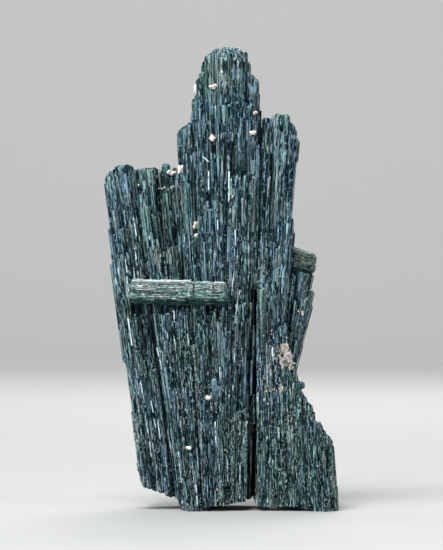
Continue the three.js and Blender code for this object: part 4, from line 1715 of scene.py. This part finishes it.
    def others(self, clear: list[Obstacle]) -> list[Spray]:
        """Describes the three sprays on the right.

        Args:
            clear: The grains that their crystals end under.

        Returns:
            The sprays.
        """
        shoulder = Spray(
            "shoulder_spray",
            [Sector((5.8, -40), 60, (4.8, 17.0), (-8.0, 10.0))],
            3,
            {Side.FRONT: 30, Side.BACK: 0, Side.RIGHT: 44},
            clear,
            [Cleft(14.4, 1.1, 57.5, 69.0, 30)],
            [Standout(14.7, 48.2, 13.6, 36.0, 1.5, 0.2, 0.5)],
            lift=-0.3,
            paleness=(0.7, 0.82),
            glints=0.05,
            shape=NeedleShape(uneven=0.28),
        )
        foot = Spray(
            "foot_spray",
            [Sector((4.5, 260), 12, (5.0, 25.0), (-13.5, 10.0))],
            4,
            {Side.FRONT: 0, Side.BACK: 0, Side.LEFT: 0, Side.RIGHT: 0},
            [],
            [
                Cleft(15.3, 0.6, 22.9, 30, 30),
                Cleft(15.9, 0.6, 21.8, 30, 30),
                Cleft(16.5, 0.6, 21.1, 30, 30),
                Cleft(17.1, 0.6, 20.5, 30, 30),
                Cleft(17.7, 0.6, 19.6, 30, 30),
                Cleft(20.4, 0.8, 7.3, 12.5, 1.5),
            ],
            [
                Standout(7.6, 44.0, 7.6, 31.5, 1.7, 0.5, -11.2),
                Standout(6.7, 22.6, 7.1, 17.3, 0.3, 3.0),
                Standout(9.6, 32.3, 9.7, 29.7, 0.3, 3.0),
                Standout(8.5, 31.2, 8.6, 29.0, 0.3, 1.0),
                Standout(10.85, 16.5, 10.9, 14.5, 0.24, 3.0),
                Standout(12.4, 27.2, 12.5, 24.5, 0.5, 0.5),
                Standout(13.0, 26.8, 13.2, 24.0, 0.6, 0.35),
            ],
            steepest=2.0,
            paleness=(0.12, 0.86),
            glints=0.05,
            hues=(0.0, 0.9),
            shape=NeedleShape(uneven=0.26),
        )
        side = Spray(
            "side_spray",
            [Sector((10.5, 12), 38, (11.0, 19.5), (-6.0, 8.0), 0.55)],
            5,
            {Side.FRONT: 0, Side.BACK: 0, Side.RIGHT: 0},
            crest=8.0,
            lift=0.7,
        )
        return [shoulder, foot, side]

    def prisms(self) -> None:
        """Builds the crystal across the front, the stub on the right and two small round knobs."""
        LyingPrism(
            "cross_crystal_prism",
            ("cross_crystal",),
            "cross_elbaite",
            (-18.05, -7.9, 43.1),
            (0.6, -10.0, 42.7),
            (2.45, 2.15),
            6,
            steps=12,
            jag=(0.3, 0.15),
            cracks=(0.665, 0.87),
            chipped=0.75,
        ).build(ElbaitePrism().build())
        stub = ElbaitePrism(  # greyer and duller than the one across the front
            name="elbaite_stub_prism",
            dark="#0d1917",
            body="#3d5652",
            pale="#738f88",
            rosy="#5a5e55",
            green="#4b6a5c",
            under="#182925",
            edge="#8fa79d",
        ).build()
        LyingPrism(
            "stub_crystal_prism",
            ("stub_crystal",),
            "elbaite",
            (12.2, 2.2, 49.5),
            (18.4, 1.4, 48.6),
            (2.95, 2.05),
            7,
            jag=(0.2, 0.12),
            round_end=0.9,
            along=30,
        ).build(stub)
        knob = ElbaitePrism(  # a deeper blue-green, alike above and below, with no painted shade underneath and no painted highlight on the crown
            name="elbaite_knob_prism",
            body="#0c4a52",
            pale="#2a767d",
            rosy="#125b63",
            green="#12605f",
            under="#06262b",
            edge="#4a868b",
            below=(-7.75, -8.75),
            crown=(9.0, 10.0),
        ).build()
        smooth = {"ribs": 15, "jag": (0.02, 0.03), "around": 90}
        LyingPrism(
            "foot_knob_prism",
            (),
            "elbaite",
            (13.6, -5.9, 24.65),
            (16.0, -6.6, 24.65),
            (0.85, 0.75),
            9,
            rib_height=0.08,
            round_end=0.8,
            along=18,
            **smooth,
        ).build(knob)
        LyingPrism(
            "ledge_knob_prism",
            (),
            "elbaite",
            (-10.95, 1.2, 61.0),
            (-11.6, 1.2, 68.85),
            (0.95, 0.88),
            10,
            rib_height=0.05,
            round_end=1.0,
            blunt=0.85,
            along=40,
            **smooth,
        ).build(knob)

    def build(self) -> None:
        """Builds every piece."""
        needles = ElbaiteNeedles().build()
        clear = [Obstacle(g.at, (g.size[0] + 0.1, g.size[0] + 0.3, g.size[1])) for g in GRAINS]
        sprays = [self.left(clear), self.centre(clear), *self.others(clear)]
        surface = Solid(*(spray.build(needles) for spray in sprays))
        self.prisms()
        cream = Beryllonite().build()
        BerylloniteGrains().build(cream)
        tan = Beryllonite("beryllonite_granular", body="#c8beb4", shade="#8b8279", rust="#6b5f55").build()
        BerylloniteCrust().build(tan, surface)
        Specks("beryllonite_specks", SPECK_MARKS).build(cream, surface)
        Specks("beryllonite_crumbs", CRUMB_MARKS, 300, stretch=(0.85, 0.85, 1.7)).build(tan, surface)
        Specks(
            "beryllonite_waist_crumbs",
            count=110,
            size=(0.06, 0.14),
            width=(7.9, 13.2),
            height=(23.5, 37.0),
            stretch=(0.85, 0.85, 1.6),
            seed=12,
        ).build(tan, surface)


def main() -> None:
    """Builds the cluster piece by piece, then the studio."""
    logging.basicConfig(level=logging.INFO, format="%(name)s: %(message)s")
    Cluster().build()
    Studio().build()


if __name__ == "__main__":
    main()
